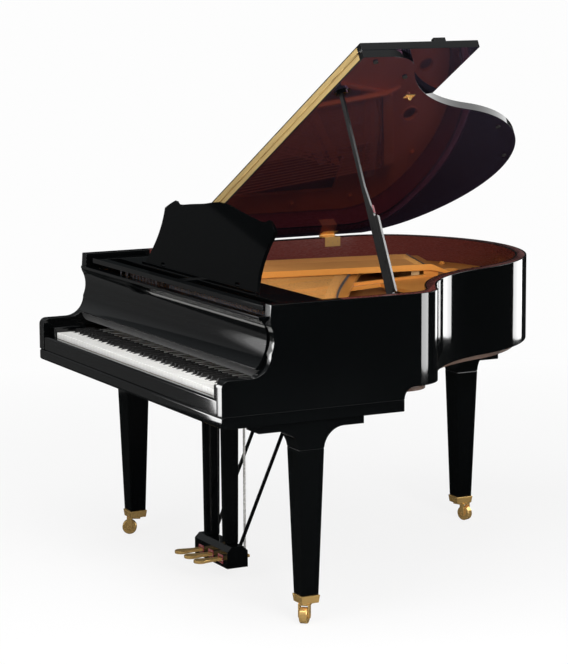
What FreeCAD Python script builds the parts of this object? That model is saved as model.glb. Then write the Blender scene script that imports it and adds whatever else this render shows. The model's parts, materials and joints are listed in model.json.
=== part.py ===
import FreeCAD
import Part
import math
import os
from FreeCAD import Vector

# Grand piano with its lid up on the prop, front flap folded back, fallboard and music desk open.
# Millimetres. While it is drawn: x runs to the treble side from the middle of the keyboard,
# y runs to the tail from the front of the keybed, z runs up from the floor. The finished
# pieces are moved so that the origin lies on the floor under the middle of the whole piano.

# General fits
overrun = 10.0
seat_gap = 0.3
running_gap = 0.08
side_gap = 1.5

# Case outline, seen from above: tangent arcs round the treble bend, the waist and the tail.
# The radii of waist and tail follow from the width, the length and the start of the bend.
case_width = 1430.0
case_length = 1550.0
bend_start_share = 0.42375
treble_bend_radius = 126.0
treble_bend_heading = 154.6
bend_straight = 18.0
waist_heading = 106.9
tail_heading = 220.6
bass_corner_radius = 297.4
outline_run = 220.0
bend_start = case_length * bend_start_share

# Legs, brackets, ferrules and casters
caster_wheel_radius = 25.0
caster_wheel_width = 24.0
caster_axle_radius = 4.0
caster_trail = 20.0
caster_cheek = 5.0
caster_cheek_gap = 1.0
caster_plate = 6.0
caster_crown_room = 5.7
caster_stem_radius = 8.0
caster_stem_height = 16.0
caster_headings = {"bass": 243.0, "treble": 317.0, "tail": 20.0}
ferrule_height = 24.0
ferrule_proud = 3.0
leg_length = 454.0
leg_top_width = 84.0
leg_foot_width = 57.0
leg_side_inset = 75.5
leg_side_y = 313.5
leg_tail_share = -0.4014
leg_tail_inset = 126.0
bracket_rise = 92.0
bracket_half = 178.0
bracket_end = 30.0
bracket_run = 74.0
ferrule_low = 2 * caster_wheel_radius + caster_crown_room + caster_plate + seat_gap
ferrule_top = ferrule_low + ferrule_height
leg_top = ferrule_top + leg_length

# Keybed, with the heights that stand on it
keybed_thickness = 38.0
keybed_edge = 6.0
keybed_clear = 43.8
keybed_bottom = leg_top + bracket_rise
keybed_top = keybed_bottom + keybed_thickness
keybed_depth = bend_start - keybed_clear

# Case heights and walls
rim_wall = 38.0
rim_step = 36.0
inner_rim_wall = 45.0
inner_rim_drop = 22.0
soundboard_drop = 123.0

# Arms at the two ends of the keyboard
key_rise = 66.0
arm_rise = 40.0
arm_back_rise = 213.0
arm_corner_radius = 22.0
arm_sweep_radius = 67.0
arm_bulge = 9.0
arm_nose_drop = 59.0
arm_nose_proud = 4.0
case_front = 163.0
key_top = keybed_top + key_rise
arm_top = key_top + arm_rise
rim_top = arm_top + arm_back_rise
rim_bottom = keybed_top + rim_step
arm_nose_height = rim_top - arm_nose_drop
inner_rim_bottom = rim_bottom - inner_rim_drop
soundboard_seat = rim_top - soundboard_drop

# Key slip and end blocks
key_slip_front = 2.0
key_slip_wall = 18.0
key_slip_drop = 19.0
key_slip_edge = 5.0
key_block_rise = 16.0
key_block_width = 59.1
key_block_length = 112.7
key_slip_back = key_slip_front + key_slip_wall
key_slip_top = key_top - key_slip_drop
key_block_top = key_top + key_block_rise

# Keyboard: as wide as the room between the end blocks
white_count = 52
octave_white_count = 7
octave_note_count = 12
note_count = 88
black_notes = (1, 3, 6, 8, 10)
first_note_index = 9
moving_notes = ("c4", "c_sharp4", "d4", "d_sharp4", "e4", "f4", "f_sharp4")
first_moving_index = 48
key_gap = 1.2
key_front_gap = 4.0
key_head_length = 50.0
key_length = 406.0
key_thickness = 20.0
black_inset = 6.0
black_slope = 5.0
black_cap_width = 10.4
black_cap_height = 12.0
black_cap_length = 70.0
balance_share = 0.468
end_stand_clear = 4.0
key_front = key_slip_back + key_front_gap
key_head_back = key_front + key_head_length
key_back = key_front + key_length
black_front = key_head_back + black_inset
black_cap_back = black_front + black_cap_length
balance_line = key_front + key_length * balance_share

# Key frame and action
frame_rail_depth = 36.0
front_rail_inset = 38.0
back_rail_inset = 38.0
rail_pad_height = 14.0
end_stand_wall = 10.0
end_stand_length = 190.0
hammer_rail_front = 318.0
hammer_rail_depth = 24.0
hammer_rail_rise = 70.0
hammer_rail_height = 22.0
hammer_width = 9.0
hammer_reach = 84.0
hammer_shank = 6.0
hammer_head_depth = 30.0
hammer_rest_gap = 34.0
hammer_rail_low = key_top + hammer_rail_rise
hammer_line = hammer_rail_front + hammer_reach

# Fallboard over the keys: each height and depth is counted from the one below it
fallboard_axis_back = 15.0
fallboard_axis_rise = 56.0
fallboard_roll_radius = 36.0
fallboard_foot_reach = 50.0
fallboard_foot_round = 6.0
fallboard_wall = 18.0
fallboard_hollow_reach = 12.0
fallboard_hollow_rise = 84.0
fallboard_shoulder_reach = 6.0
fallboard_shoulder_rise = 46.0
fallboard_lip_reach = 19.0
fallboard_lip_rise = 19.0
fallboard_lip_edge = 9.0
fallboard_pin_radius = 4.0
fallboard_pin_reach = 24.0
fallboard_pin_bore = 28.0
fallboard_axis_y = case_front + fallboard_axis_back
fallboard_axis_z = key_top + fallboard_axis_rise
fallboard_hollow_back = fallboard_axis_y - fallboard_hollow_reach
fallboard_hollow_height = fallboard_axis_z + fallboard_hollow_rise
fallboard_shoulder = fallboard_hollow_back - fallboard_shoulder_reach
fallboard_shoulder_height = fallboard_hollow_height + fallboard_shoulder_rise
fallboard_lip_front = fallboard_shoulder - fallboard_lip_reach
fallboard_lip_height = fallboard_shoulder_height + fallboard_lip_rise
fallboard_top = fallboard_lip_height + fallboard_lip_edge

# Soundboard, bridges and back frame
belly_rail_front = 452.0
belly_rail_depth = 40.0
beam_width = 62.0
beam_height = 96.0
beam_shares = (-0.62, -0.12, 0.26)
soundboard_thickness = 9.0
rib_count = 9
rib_width = 18.0
rib_height = 18.0
rib_clear = 68.0
rib_tail_clear = 206.0
bridge_width = 28.0
long_bridge_shares = ((0.80, 0.315), (0.51, 0.352), (0.18, 0.436), (-0.21, 0.549), (-0.63, 0.684))
bass_bridge_shares = ((-0.71, 0.812), (-0.55, 0.80), (-0.38, 0.78), (-0.23, 0.75))
soundboard_top = soundboard_seat + soundboard_thickness

# Iron plate
plate_gap = 3.0
plate_front = 214.0
plate_rise = 16.0
plate_thickness = 12.0
plate_foot = 34.0
strike_clear = 12.0
strike_depth = 140.0
window_clear = 8.0
strike_side_share = 0.90
strut_half = 15.0
strut_rib_half = 7.0
strut_rib_height = 9.0
strut_front_shares = (-0.86, -0.34, 0.05, 0.42, 0.79)
strut_tail_shares = (-0.82, -0.74, -0.34, 0.10, 0.70)
window_back_shares = (0.74, 0.79, 0.63, 0.46)
rosette_radius = 26.0
rosette_shares = ((-0.36, 0.88), (-0.14, 0.90), (0.06, 0.86), (0.22, 0.76), (0.36, 0.63), (0.56, 0.50))
pin_block_depth = 126.0
pin_block_height = 35.0
plate_bottom = soundboard_top + plate_rise
plate_top = plate_bottom + plate_thickness
pin_block_back = plate_front + pin_block_depth
pin_block_bottom = plate_bottom - pin_block_height
strike_front = pin_block_back + strike_clear
strike_back = strike_front + strike_depth
window_front = strike_back + window_clear

# Strings, tuning pins and dampers
string_rise = 19.0
bass_lift = 18.0
plain_radius = 0.7
wound_radius = 2.2
bass_note_count = 26
string_spread_share = 0.94
longest_string = 780.0
shortest_string = 165.0
string_fan_power = 1.55
treble_lean = -3.0
tenor_lean = -17.0
bass_lean = 9.0
bass_shift = 50.0
bass_string_clear = 238.0
bass_string_step = 4.0
tuning_pin_radius = 3.4
tuning_pin_rise = 27.0
tuning_pin_clear = 34.0
tuning_pin_step = 22.0
tuning_pin_row_count = 4
damper_count = 66
damper_reach = 88.0
damper_length = 40.0
damper_width = 9.0
damper_height = 13.0
damper_gap = 0.4
string_height = plate_top + string_rise
speaking_start = strike_front
bass_string = case_length - speaking_start - bass_string_clear
damper_line = speaking_start + damper_reach

# Lid with folding front flap
lid_angle = 28.8
lid_rise = 5.0
lid_thickness = 24.0
lid_overhang = 12.0
lid_axis_out = 3.0
lid_front_lead = 92.8
flap_proud = 18.4
flap_gap = 3.4
flap_lift = 0.5
hinge_leaf = 1.3
hinge_leaf_height = 19.0
hinge_end_clear = 26.0
hinge_knuckle_radius = 3.2
hinge_pin_radius = 1.4
hinge_knuckle_count = 15
knuckle_gap = 0.6
knuckle_room = 0.9
flap_block_length = 42.0
flap_block_depth = 16.0
flap_block_height = 16.0
flap_block_share = 0.6875
flap_block_inset = 8.0
lid_hinge_shares = (0.592, 0.943)
lid_hinge_length = 62.0
lid_hinge_leaf = 2.0
lid_hinge_reach = 34.0
lid_hinge_drop = 32.0
lid_knuckle_radius = 3.4
lid_knuckle_count = 3
button_radius = 8.0
button_shares = (0.40, 0.502, 0.868, 0.97)
lid_front = bend_start - lid_front_lead
flap_back = lid_front - flap_gap
flap_front = case_front - flap_proud
flap_depth = flap_back - flap_front

# Lid prop with its short stick
prop_inset = 60.0
prop_lead = 54.0
prop_drop = 27.0
prop_fold_heading = 134.0
prop_wall = 20.0
prop_slim_wall = 10.0
prop_shoulder = 265.0
prop_taper = 110.0
prop_depth = 18.0
prop_lean = 26.9
prop_foot_radius = 11.0
prop_pin_radius = 4.0
prop_tip_gap = 1.5
short_prop_length = 272.0
short_prop_wall = 10.0
short_prop_pivot = 34.0
cup_wall = 4.0
cup_height = 12.0
cup_room = 3.0
cup_plate = 3.0
cup_plate_radius = 25.0
prop_bracket_wall = 5.0
prop_bracket_half = 24.0
prop_ledge_clear = 4.0
prop_base_x = case_width / 2 - prop_inset
prop_base_y = bend_start - prop_lead
prop_base_z = rim_top - prop_drop

# Music desk, its strut and its sliding shelf
shelf_back_clear = 9.0
shelf_depth = 220.0
shelf_rise = 11.0
shelf_thickness = 16.0
shelf_side_clear = 33.2
shelf_slot_inset = 32.0
shelf_slot_depth = 46.0
shelf_slot_end = 46.0
shelf_ledge = 10.0
shelf_ledge_depth = 10.0
shelf_ledge_clear = 8.5
desk_rail_wall = 34.0
desk_rail_inset = 23.0
desk_rail_clear = 48.0
desk_rail_slope = 60.0
desk_rail_height = 26.0
desk_lean = 21.4
desk_thickness = 12.0
desk_axis_back = 100.0
desk_axis_rise = 8.5
desk_foot_half = 415.0
desk_waist_half = 386.0
desk_waist_share = 0.628
desk_shoulder_half = 404.0
desk_shoulder_height = 188.0
desk_ear_half = 342.0
desk_ear_rise = 32.0
desk_ear_bulge = 1.5
desk_dip_half = 232.0
desk_dip_drop = 3.0
desk_crest_rise = 27.0
desk_pin_radius = 3.0
desk_pin_length = 30.0
desk_lug = 9.0
desk_foot = 5.0
strut_hold = 120.0
strut_length = 125.0
strut_lean = 65.0
strut_thickness = 6.0
strut_width = 24.0
strut_lug = 16.0
shelf_front = case_front + shelf_back_clear
shelf_back = shelf_front + shelf_depth
shelf_bottom = fallboard_top + shelf_rise
shelf_top = shelf_bottom + shelf_thickness
shelf_slot_front = shelf_front + shelf_slot_inset
desk_rail_front = shelf_front + desk_rail_inset
desk_rail_back = prop_base_y - prop_bracket_half - desk_rail_clear
desk_axis_y = shelf_front + desk_axis_back
desk_axis_z = shelf_top + desk_axis_rise
desk_waist_height = desk_shoulder_height * desk_waist_share
desk_ear_height = desk_shoulder_height + desk_ear_rise
desk_dip_height = desk_ear_height - desk_dip_drop
desk_crest_height = desk_dip_height + desk_crest_rise

# Pedal lyre
lyre_top_height = 26.0
lyre_top_half = 104.0
lyre_front = 300.0
box_depth = 74.0
box_half = 122.0
box_bottom = 46.0
box_height = 70.0
box_wall = 10.0
box_chamfer = 16.0
post_half_gap = 57.0
post_width = 24.0
post_depth = 58.0
post_foot_depth = 48.0
brace_radius = 6.0
brace_half_gap = 96.0
brace_inset = 25.0
pedal_pitch = 72.0
pedal_width = 26.0
pedal_thickness = 9.0
pedal_proud = 94.0
pedal_rise = 20.0
pedal_head = 44.0
pedal_head_length = 62.0
pedal_axis_inset = 30.0
pedal_tail_proud = 26.0
pedal_pin_radius = 4.0
pedal_slot_room = 5.0
rod_headroom = 8.0
rod_radius = 4.0
rod_inset = 12.0
lyre_top_low = keybed_bottom - lyre_top_height
box_top = box_bottom + box_height
box_back = lyre_front + box_depth
brace_top_y = keybed_depth - brace_inset
pedal_tip_y = lyre_front - pedal_proud
pedal_height = box_bottom + pedal_rise
pedal_axis_y = box_back - pedal_axis_inset
pedal_tail = box_back + pedal_tail_proud
rod_line = pedal_tail - rod_inset


# Helpers
def box(low, high):
    size = high - low
    return Part.makeBox(size.x, size.y, size.z, low)


def block(x_low, x_high, y_low, y_high, z_low, z_high):
    return box(Vector(x_low, y_low, z_low), Vector(x_high, y_high, z_high))


def trace(start, steps, place):
    """Closed face. A step of one point is a line, of two an arc through the first to the second."""
    edges = []
    at = place(*start)
    for step in steps:
        end = place(*step[-1])
        if len(step) == 1:
            edges.append(Part.LineSegment(at, end).toShape())
        else:
            edges.append(Part.Arc(at, place(*step[0]), end).toShape())
        at = end
    edges.append(Part.LineSegment(at, place(*start)).toShape())
    return Part.Face(Part.Wire(edges))


def side_prism(start, steps, x_low, x_high):
    """Section in the y, z plane, drawn out along x."""
    face = trace(start, steps, lambda y, z: Vector(x_low, y, z))
    return face.extrude(Vector(x_high - x_low, 0, 0))


def plan_prism(points, z_low, z_high):
    """Polygon seen from above, drawn out upwards."""
    corners = [Vector(x, y, z_low) for x, y in points]
    face = Part.Face(Part.makePolygon(corners + corners[:1]))
    return face.extrude(Vector(0, 0, z_high - z_low))


def rod(radius, start, end):
    run = end - start
    return Part.makeCylinder(radius, run.Length, start, run)


def turned(shape, base, axis, degrees):
    copy = shape.copy()
    copy.rotate(base, axis, degrees)
    return copy


def group(shapes):
    return Part.Compound(shapes)


half_width = case_width / 2
inner_reach = half_width - rim_wall - seat_gap
stand_inner = inner_reach - key_block_width
keys_half = stand_inner - end_stand_clear
white_pitch = 2 * keys_half / white_count
note_pitch = white_pitch * octave_white_count / octave_note_count


# Case outline
def heading_vector(degrees):
    return Vector(math.cos(math.radians(degrees)), math.sin(math.radians(degrees)), 0)


def left_of(degrees):
    return heading_vector(degrees + 90)


class OutlinePen:
    """Draws tangent lines and arcs, turning left for a positive radius."""

    def __init__(self, start, heading):
        self.at = start
        self.heading = heading
        self.edges = []

    def line(self, length):
        end = self.at + heading_vector(self.heading) * length
        self.edges.append(Part.LineSegment(self.at, end).toShape())
        self.at = end

    def arc(self, heading, radius):
        centre = self.at + left_of(self.heading) * radius
        middle = centre - left_of((self.heading + heading) / 2) * radius
        end = centre - left_of(heading) * radius
        self.edges.append(Part.Arc(self.at, middle, end).toShape())
        self.at = end
        self.heading = heading


def turn_run(start_heading, end_heading):
    """How far an arc of radius 1 goes, turning left from one heading to another."""
    return left_of(start_heading) - left_of(end_heading)


def waist_and_tail_radius(at):
    """The two radii that take the outline from the end of the bend to the width and length of the case."""
    waist_run = turn_run(waist_heading, treble_bend_heading)
    tail_run = turn_run(waist_heading, tail_heading)
    tail_rise = turn_run(waist_heading, 180).y
    across = -half_width - at.x - turn_run(tail_heading, 270).x * bass_corner_radius
    along = case_length - at.y
    spread = waist_run.x * tail_rise - tail_run.x * waist_run.y
    waist = (across * tail_rise - tail_run.x * along) / spread
    tail = (waist_run.x * along - across * waist_run.y) / spread
    return waist, tail


def draw_bend():
    """Treble bend, waist, tail and bass corner."""
    pen = OutlinePen(Vector(half_width, bend_start, 0), 90)
    pen.arc(treble_bend_heading, treble_bend_radius)
    pen.line(bend_straight)
    waist_radius, tail_radius = waist_and_tail_radius(pen.at)
    pen.arc(waist_heading, -waist_radius)
    pen.arc(tail_heading, tail_radius)
    pen.arc(270, bass_corner_radius)
    return pen


def outline_wire(inset):
    pen = draw_bend()
    front_bass = Vector(-half_width, -outline_run, 0)
    front_treble = Vector(half_width, -outline_run, 0)
    start = Vector(half_width, bend_start, 0)
    edges = [Part.LineSegment(front_treble, start).toShape()]
    edges += pen.edges
    edges.append(Part.LineSegment(pen.at, front_bass).toShape())
    edges.append(Part.LineSegment(front_bass, front_treble).toShape())
    wire = Part.Wire(edges)
    if inset == 0:
        return wire
    return wire.makeOffset2D(-inset)


def outline_slab(inset, z_low, z_high, y_front):
    """The case outline drawn in by an inset, between two heights, from y_front to the tail."""
    solid = Part.Face(outline_wire(inset)).extrude(Vector(0, 0, z_high - z_low))
    solid.translate(Vector(0, 0, z_low))
    front = block(-case_width, case_width, -case_length, y_front, z_low - overrun, z_high + overrun)
    return solid.cut(front)


def outline_well(inset, z_low, z_high):
    """The same, open at the front, for cutting out."""
    return outline_slab(inset, z_low - overrun, z_high + overrun, -outline_run / 2)


# Outer rim with arms
sweep_start = case_front - arm_sweep_radius
diagonal = math.sqrt(0.5)


def arm_air():
    """What is cut away in front of the case, over the arms."""
    corner = arm_corner_radius
    sweep = arm_sweep_radius
    corner_mid = (corner - corner * diagonal, arm_top - corner + corner * diagonal)
    sweep_mid = (sweep_start + sweep * diagonal, arm_top + sweep - sweep * diagonal)
    sweep_top = arm_top + sweep
    bulge_mid = (case_front + arm_bulge, (sweep_top + arm_nose_height) / 2)
    steps = (
        ((-overrun, arm_top - corner),),
        ((0, arm_top - corner),),
        (corner_mid, (corner, arm_top)),
        ((sweep_start, arm_top),),
        (sweep_mid, (case_front, sweep_top)),
        (bulge_mid, (case_front - arm_nose_proud, arm_nose_height)),
        ((case_front, rim_top),),
        ((case_front, rim_top + overrun),),
    )
    return side_prism((-overrun, rim_top + overrun), steps, -case_width, case_width)


def rim_underside():
    """What is cut away under the rim behind the keybed, with a hollow curve at the step."""
    cove = rim_bottom - keybed_top
    cove_mid = (keybed_depth + cove - cove * diagonal, keybed_top + cove * diagonal)
    low = keybed_top - overrun
    far = case_length + overrun
    steps = (
        ((keybed_depth, keybed_top),),
        (cove_mid, (keybed_depth + cove, rim_bottom)),
        ((far, rim_bottom),),
        ((far, low),),
    )
    return side_prism((keybed_depth, low), steps, -case_width, case_width)


def fallboard_pins(room):
    """Pivot pins from the ends of the fallboard into the arms, or with room the holes for them."""
    pins = []
    for side in (-1, 1):
        inner = side * (half_width - rim_wall - fallboard_pin_bore)
        outer = side * (half_width - rim_wall + fallboard_pin_reach + room)
        at_inner = Vector(inner, fallboard_axis_y, fallboard_axis_z)
        at_outer = Vector(outer, fallboard_axis_y, fallboard_axis_z)
        pins.append(rod(fallboard_pin_radius + room, at_inner, at_outer))
    return pins


def outer_rim():
    hollow = outline_well(rim_wall, keybed_top, rim_top)
    rim = outline_slab(0, keybed_top, rim_top, 0).cut(hollow)
    rim = rim.cut(arm_air()).cut(rim_underside())
    for pin in fallboard_pins(running_gap):
        rim = rim.cut(pin)
    return rim


# Inner rim, back frame and soundboard
inner_inset = rim_wall + seat_gap
well_inset = inner_inset + inner_rim_wall


def inner_rim():
    ring = outline_slab(inner_inset, inner_rim_bottom, soundboard_seat, belly_rail_front)
    return ring.cut(outline_well(well_inset, inner_rim_bottom, soundboard_seat))


def well_slab(z_low, z_high, y_front):
    return outline_slab(well_inset + seat_gap, z_low, z_high, y_front)


belly_rail_back = belly_rail_front + belly_rail_depth


def belly_rail():
    rail = block(-half_width, half_width, belly_rail_front, belly_rail_back,
                 inner_rim_bottom, soundboard_seat)
    return rail.common(well_slab(inner_rim_bottom, soundboard_seat, 0))


def back_beams():
    top = inner_rim_bottom + beam_height
    well = well_slab(inner_rim_bottom, top, belly_rail_back)
    beams = []
    for share in beam_shares:
        middle = share * half_width
        beam = block(middle - beam_width / 2, middle + beam_width / 2, belly_rail_back, case_length,
                     inner_rim_bottom, top)
        beams.append(beam.common(well).Solids[0])
    return group(beams + [belly_rail()])


def soundboard():
    return outline_slab(inner_inset, soundboard_seat, soundboard_top, belly_rail_front)


def soundboard_ribs():
    low = soundboard_seat - rib_height
    well = well_slab(low, soundboard_seat, belly_rail_back + seat_gap)
    ribs = []
    first = belly_rail_back + rib_clear
    pitch = (case_length - rib_tail_clear - first) / (rib_count - 1)
    for index in range(rib_count):
        y_low = first + index * pitch
        rib = block(-half_width, half_width, y_low, y_low + rib_width, low, soundboard_seat)
        ribs.append(rib.common(well).Solids[0])
    return group(ribs)


def bridge(shares, top):
    """A curved bar of wood on the soundboard, under the strings."""
    points = [Vector(x * half_width, y * case_length, 0) for x, y in shares]
    curve = Part.BSplineCurve()
    curve.interpolate(points)
    near = []
    far = []
    steps = 4 * len(points)
    first, last = curve.FirstParameter, curve.LastParameter
    for index in range(steps + 1):
        at = first + (last - first) * index / steps
        along = curve.tangent(at)[0]
        across = Vector(-along.y, along.x, 0) * (bridge_width / 2)
        near.append(curve.value(at) + across)
        far.append(curve.value(at) - across)
    edges = []
    for side in (near, far[::-1]):
        line = Part.BSplineCurve()
        line.interpolate(side)
        edges.append(line.toShape())
    ends = ((near[-1], far[-1]), (far[0], near[0]))
    edges.insert(1, Part.LineSegment(*ends[0]).toShape())
    edges.append(Part.LineSegment(*ends[1]).toShape())
    solid = Part.Face(Part.Wire(edges)).extrude(Vector(0, 0, top - soundboard_top))
    solid.translate(Vector(0, 0, soundboard_top))
    return solid


def bridges():
    long_top = string_height - plain_radius - seat_gap
    bass_top = string_height + bass_lift - wound_radius - seat_gap
    return group([bridge(long_bridge_shares, long_top), bridge(bass_bridge_shares, bass_top)])


# Iron plate
def strut_x(index, y):
    front = strut_front_shares[index] * half_width
    tail = strut_tail_shares[index] * half_width
    return front + (tail - front) * (y - window_front) / (case_length - window_front)


def plate_windows():
    windows = []
    for index, back_share in enumerate(window_back_shares):
        back = back_share * case_length
        corners = (
            (strut_x(index, window_front) + strut_half, window_front),
            (strut_x(index + 1, window_front) - strut_half, window_front),
            (strut_x(index + 1, back) - strut_half, back),
            (strut_x(index, back) + strut_half, back),
        )
        windows.append(plan_prism(corners, plate_bottom - overrun, plate_top + overrun))
    return windows


def strike_gaps():
    """Openings over the hammers, between the feet of the struts."""
    ends = [-strike_side_share * half_width]
    for share in strut_front_shares[1:4]:
        ends += [share * half_width - strut_half, share * half_width + strut_half]
    ends.append(strike_side_share * half_width)
    gaps = []
    for low, high in zip(ends[::2], ends[1::2]):
        gaps.append(block(low, high, strike_front, strike_back, plate_bottom - overrun, plate_top + overrun))
    return gaps


def strut_ribs():
    ribs = []
    for index in (1, 2, 3):
        back = max(window_back_shares[index - 1], window_back_shares[index]) * case_length
        corners = []
        for side, y in ((-1, strike_front), (1, strike_front), (1, back), (-1, back)):
            at = max(y, window_front)
            corners.append((strut_x(index, at) + side * strut_rib_half, y))
        ribs.append(plan_prism(corners, plate_top, plate_top + strut_rib_height))
    return ribs


def iron_plate():
    inset = rim_wall + plate_gap
    plate = outline_slab(inset, plate_bottom, plate_top, plate_front)
    for window in plate_windows() + strike_gaps():
        plate = plate.cut(window)
    for x_share, y_share in rosette_shares:
        at = Vector(x_share * half_width, y_share * case_length, plate_bottom - overrun)
        plate = plate.cut(Part.makeCylinder(rosette_radius, plate_top - plate_bottom + 2 * overrun, at))
    foot = outline_slab(inset, soundboard_top, plate_bottom, belly_rail_front)
    foot = foot.cut(outline_well(inset + plate_foot, soundboard_top, plate_bottom))
    plate = plate.fuse(foot)
    for rib in strut_ribs():
        plate = plate.fuse(rib)
    bridge_room = bridges()
    return plate.cut(bridge_room).removeSplitter()


def pin_block():
    reach = half_width - rim_wall - seat_gap
    return block(-reach, reach, plate_front, pin_block_back, pin_block_bottom, plate_bottom)


# Strings
string_pitch = note_pitch * string_spread_share


def string_x(note):
    shift = bass_shift if note < bass_note_count else 0
    return (note - (note_count - 1) / 2) * string_pitch - shift


def string_line(note):
    """Front end at the tuning pin and far end at the hitch, with the radius of the wire."""
    if note < bass_note_count:
        lean = bass_lean
        length = bass_string - note * bass_string_step
        height = string_height + bass_lift
        radius = wound_radius
    else:
        share = (note_count - 1 - note) / (note_count - 1 - bass_note_count)
        lean = treble_lean + (tenor_lean - treble_lean) * share
        length = shortest_string + (longest_string - shortest_string) * share ** string_fan_power
        height = string_height
        radius = plain_radius
    along = heading_vector(90 - lean)
    crossing = Vector(string_x(note), speaking_start, height)
    row = note % tuning_pin_row_count
    pin = crossing - along * (tuning_pin_clear + row * tuning_pin_step)
    return pin, crossing + along * length, along, radius


def tuning_pins():
    pins = []
    for note in range(note_count):
        pin, _, _, _ = string_line(note)
        lift = bass_lift if note < bass_note_count else 0
        at = Vector(pin.x, pin.y, plate_top)
        pins.append(Part.makeCylinder(tuning_pin_radius, tuning_pin_rise + lift, at))
    return group(pins)


def strings(notes):
    wires = []
    for note in notes:
        pin, hitch, along, radius = string_line(note)
        wires.append(rod(radius, pin + along * (tuning_pin_radius + seat_gap), hitch))
    return group(wires)


def dampers():
    heads = []
    for note in range(damper_count):
        pin, _, along, radius = string_line(note)
        at = pin + along * ((damper_line - pin.y) / along.y)
        low = at.z + radius + damper_gap
        half = damper_width / 2
        head = block(at.x - half, at.x + half, damper_line - damper_length / 2,
                     damper_line + damper_length / 2, low, low + damper_height)
        heads.append(turned(head, at, Vector(0, 0, 1), math.degrees(math.atan2(-along.x, along.y))))
    return group(heads)


# Keyboard and action
def is_black(note):
    return (note + first_note_index) % octave_note_count in black_notes


def white_index(note):
    """How many white keys lie below a note."""
    return sum(1 for lower in range(note) if not is_black(lower))


whites_below_c = 2
first_c = -keys_half + white_pitch * whites_below_c


def stick_x(note):
    """Middle of the key's stick behind the heads."""
    steps = note + first_note_index - octave_note_count
    return first_c + (steps + 0.5) * note_pitch


def key_solid(note):
    low = key_top - key_thickness
    half = (note_pitch - key_gap) / 2
    middle = stick_x(note)
    if is_black(note):
        stick = block(middle - half, middle + half, key_head_back + key_gap, key_back, low, key_top)
        cap_half = black_cap_width / 2
        steps = (
            ((black_front + black_slope, key_top + black_cap_height),),
            ((black_cap_back, key_top + black_cap_height),),
            ((black_cap_back, key_top),),
        )
        cap = side_prism((black_front, key_top), steps, middle - cap_half, middle + cap_half)
        return stick.fuse(cap).removeSplitter()
    head_low = -keys_half + white_index(note) * white_pitch + key_gap / 2
    head = block(head_low, head_low + white_pitch - key_gap, key_front, key_head_back, low, key_top)
    stick_low = max(middle - half, head_low)
    stick_high = min(middle + half, head_low + white_pitch - key_gap)
    stick = block(stick_low, stick_high, key_head_back, key_back, low, key_top)
    return head.fuse(stick).removeSplitter()


first_moving = first_moving_index - first_note_index
moving_range = range(first_moving, first_moving + len(moving_notes))


def standing_keys(black):
    notes = [note for note in range(note_count) if is_black(note) == black and note not in moving_range]
    return group([key_solid(note) for note in notes])


frame_low = keybed_top + seat_gap


def action_frame():
    """Three rails under the keys, two end stands and the rail that carries the hammers."""
    key_low = key_top - key_thickness - seat_gap
    reach = stand_inner
    front_rail = key_front + front_rail_inset
    back_rail = key_back - back_rail_inset
    rails = []
    for half, place, top in (
        (keys_half, front_rail, key_low - rail_pad_height),
        (reach, balance_line, key_low),
        (reach, back_rail, key_low),
    ):
        rails.append(block(-half, half, place, place + frame_rail_depth, frame_low, top))
    for side in (-1, 1):
        ends = sorted((side * stand_inner, side * (stand_inner + end_stand_wall)))
        rails.append(block(ends[0], ends[1], key_back - end_stand_length, key_back, frame_low,
                           hammer_rail_low + hammer_rail_height))
    rails.append(block(-reach, reach, hammer_rail_front, hammer_rail_front + hammer_rail_depth,
                       hammer_rail_low, hammer_rail_low + hammer_rail_height))
    return group(rails)


hammer_top = string_height - hammer_rest_gap


def hammer_solid(note):
    middle = string_x(note)
    half = hammer_width / 2
    shank_low = hammer_rail_low + hammer_rail_height + seat_gap
    depth = hammer_head_depth / 2
    low = shank_low
    steps = (
        ((hammer_line - depth, hammer_top - depth),),
        ((hammer_line, hammer_top), (hammer_line + depth, hammer_top - depth)),
        ((hammer_line + hammer_shank, low),),
    )
    head = side_prism((hammer_line - hammer_shank, low), steps, middle - half, middle + half)
    shank = block(middle - hammer_shank / 2, middle + hammer_shank / 2, hammer_rail_front,
                  hammer_line, shank_low, shank_low + hammer_shank)
    return head.fuse(shank).removeSplitter()


def hammers():
    return group([hammer_solid(note) for note in range(note_count)])


# Keybed, key slip and blocks
def keybed():
    edge = keybed_edge
    steps = (
        ((0, keybed_top - edge),),
        ((0, keybed_bottom + edge),),
        ((edge, keybed_bottom),),
        ((keybed_depth, keybed_bottom),),
        ((keybed_depth, keybed_top),),
    )
    return side_prism((edge, keybed_top), steps, -half_width, half_width)


def key_slip():
    edge = key_slip_edge
    steps = (
        ((key_slip_front, key_slip_top - edge),),
        ((key_slip_front + edge, key_slip_top),),
        ((key_slip_back, key_slip_top),),
        ((key_slip_back, keybed_top),),
    )
    return side_prism((key_slip_front, keybed_top), steps, -inner_reach, inner_reach)


def key_blocks():
    blocks = []
    for side in (-1, 1):
        ends = sorted((side * stand_inner, side * inner_reach))
        front = key_slip_back + seat_gap
        blocks.append(block(ends[0], ends[1], front, front + key_block_length, keybed_top, key_block_top))
    return group(blocks)


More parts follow.
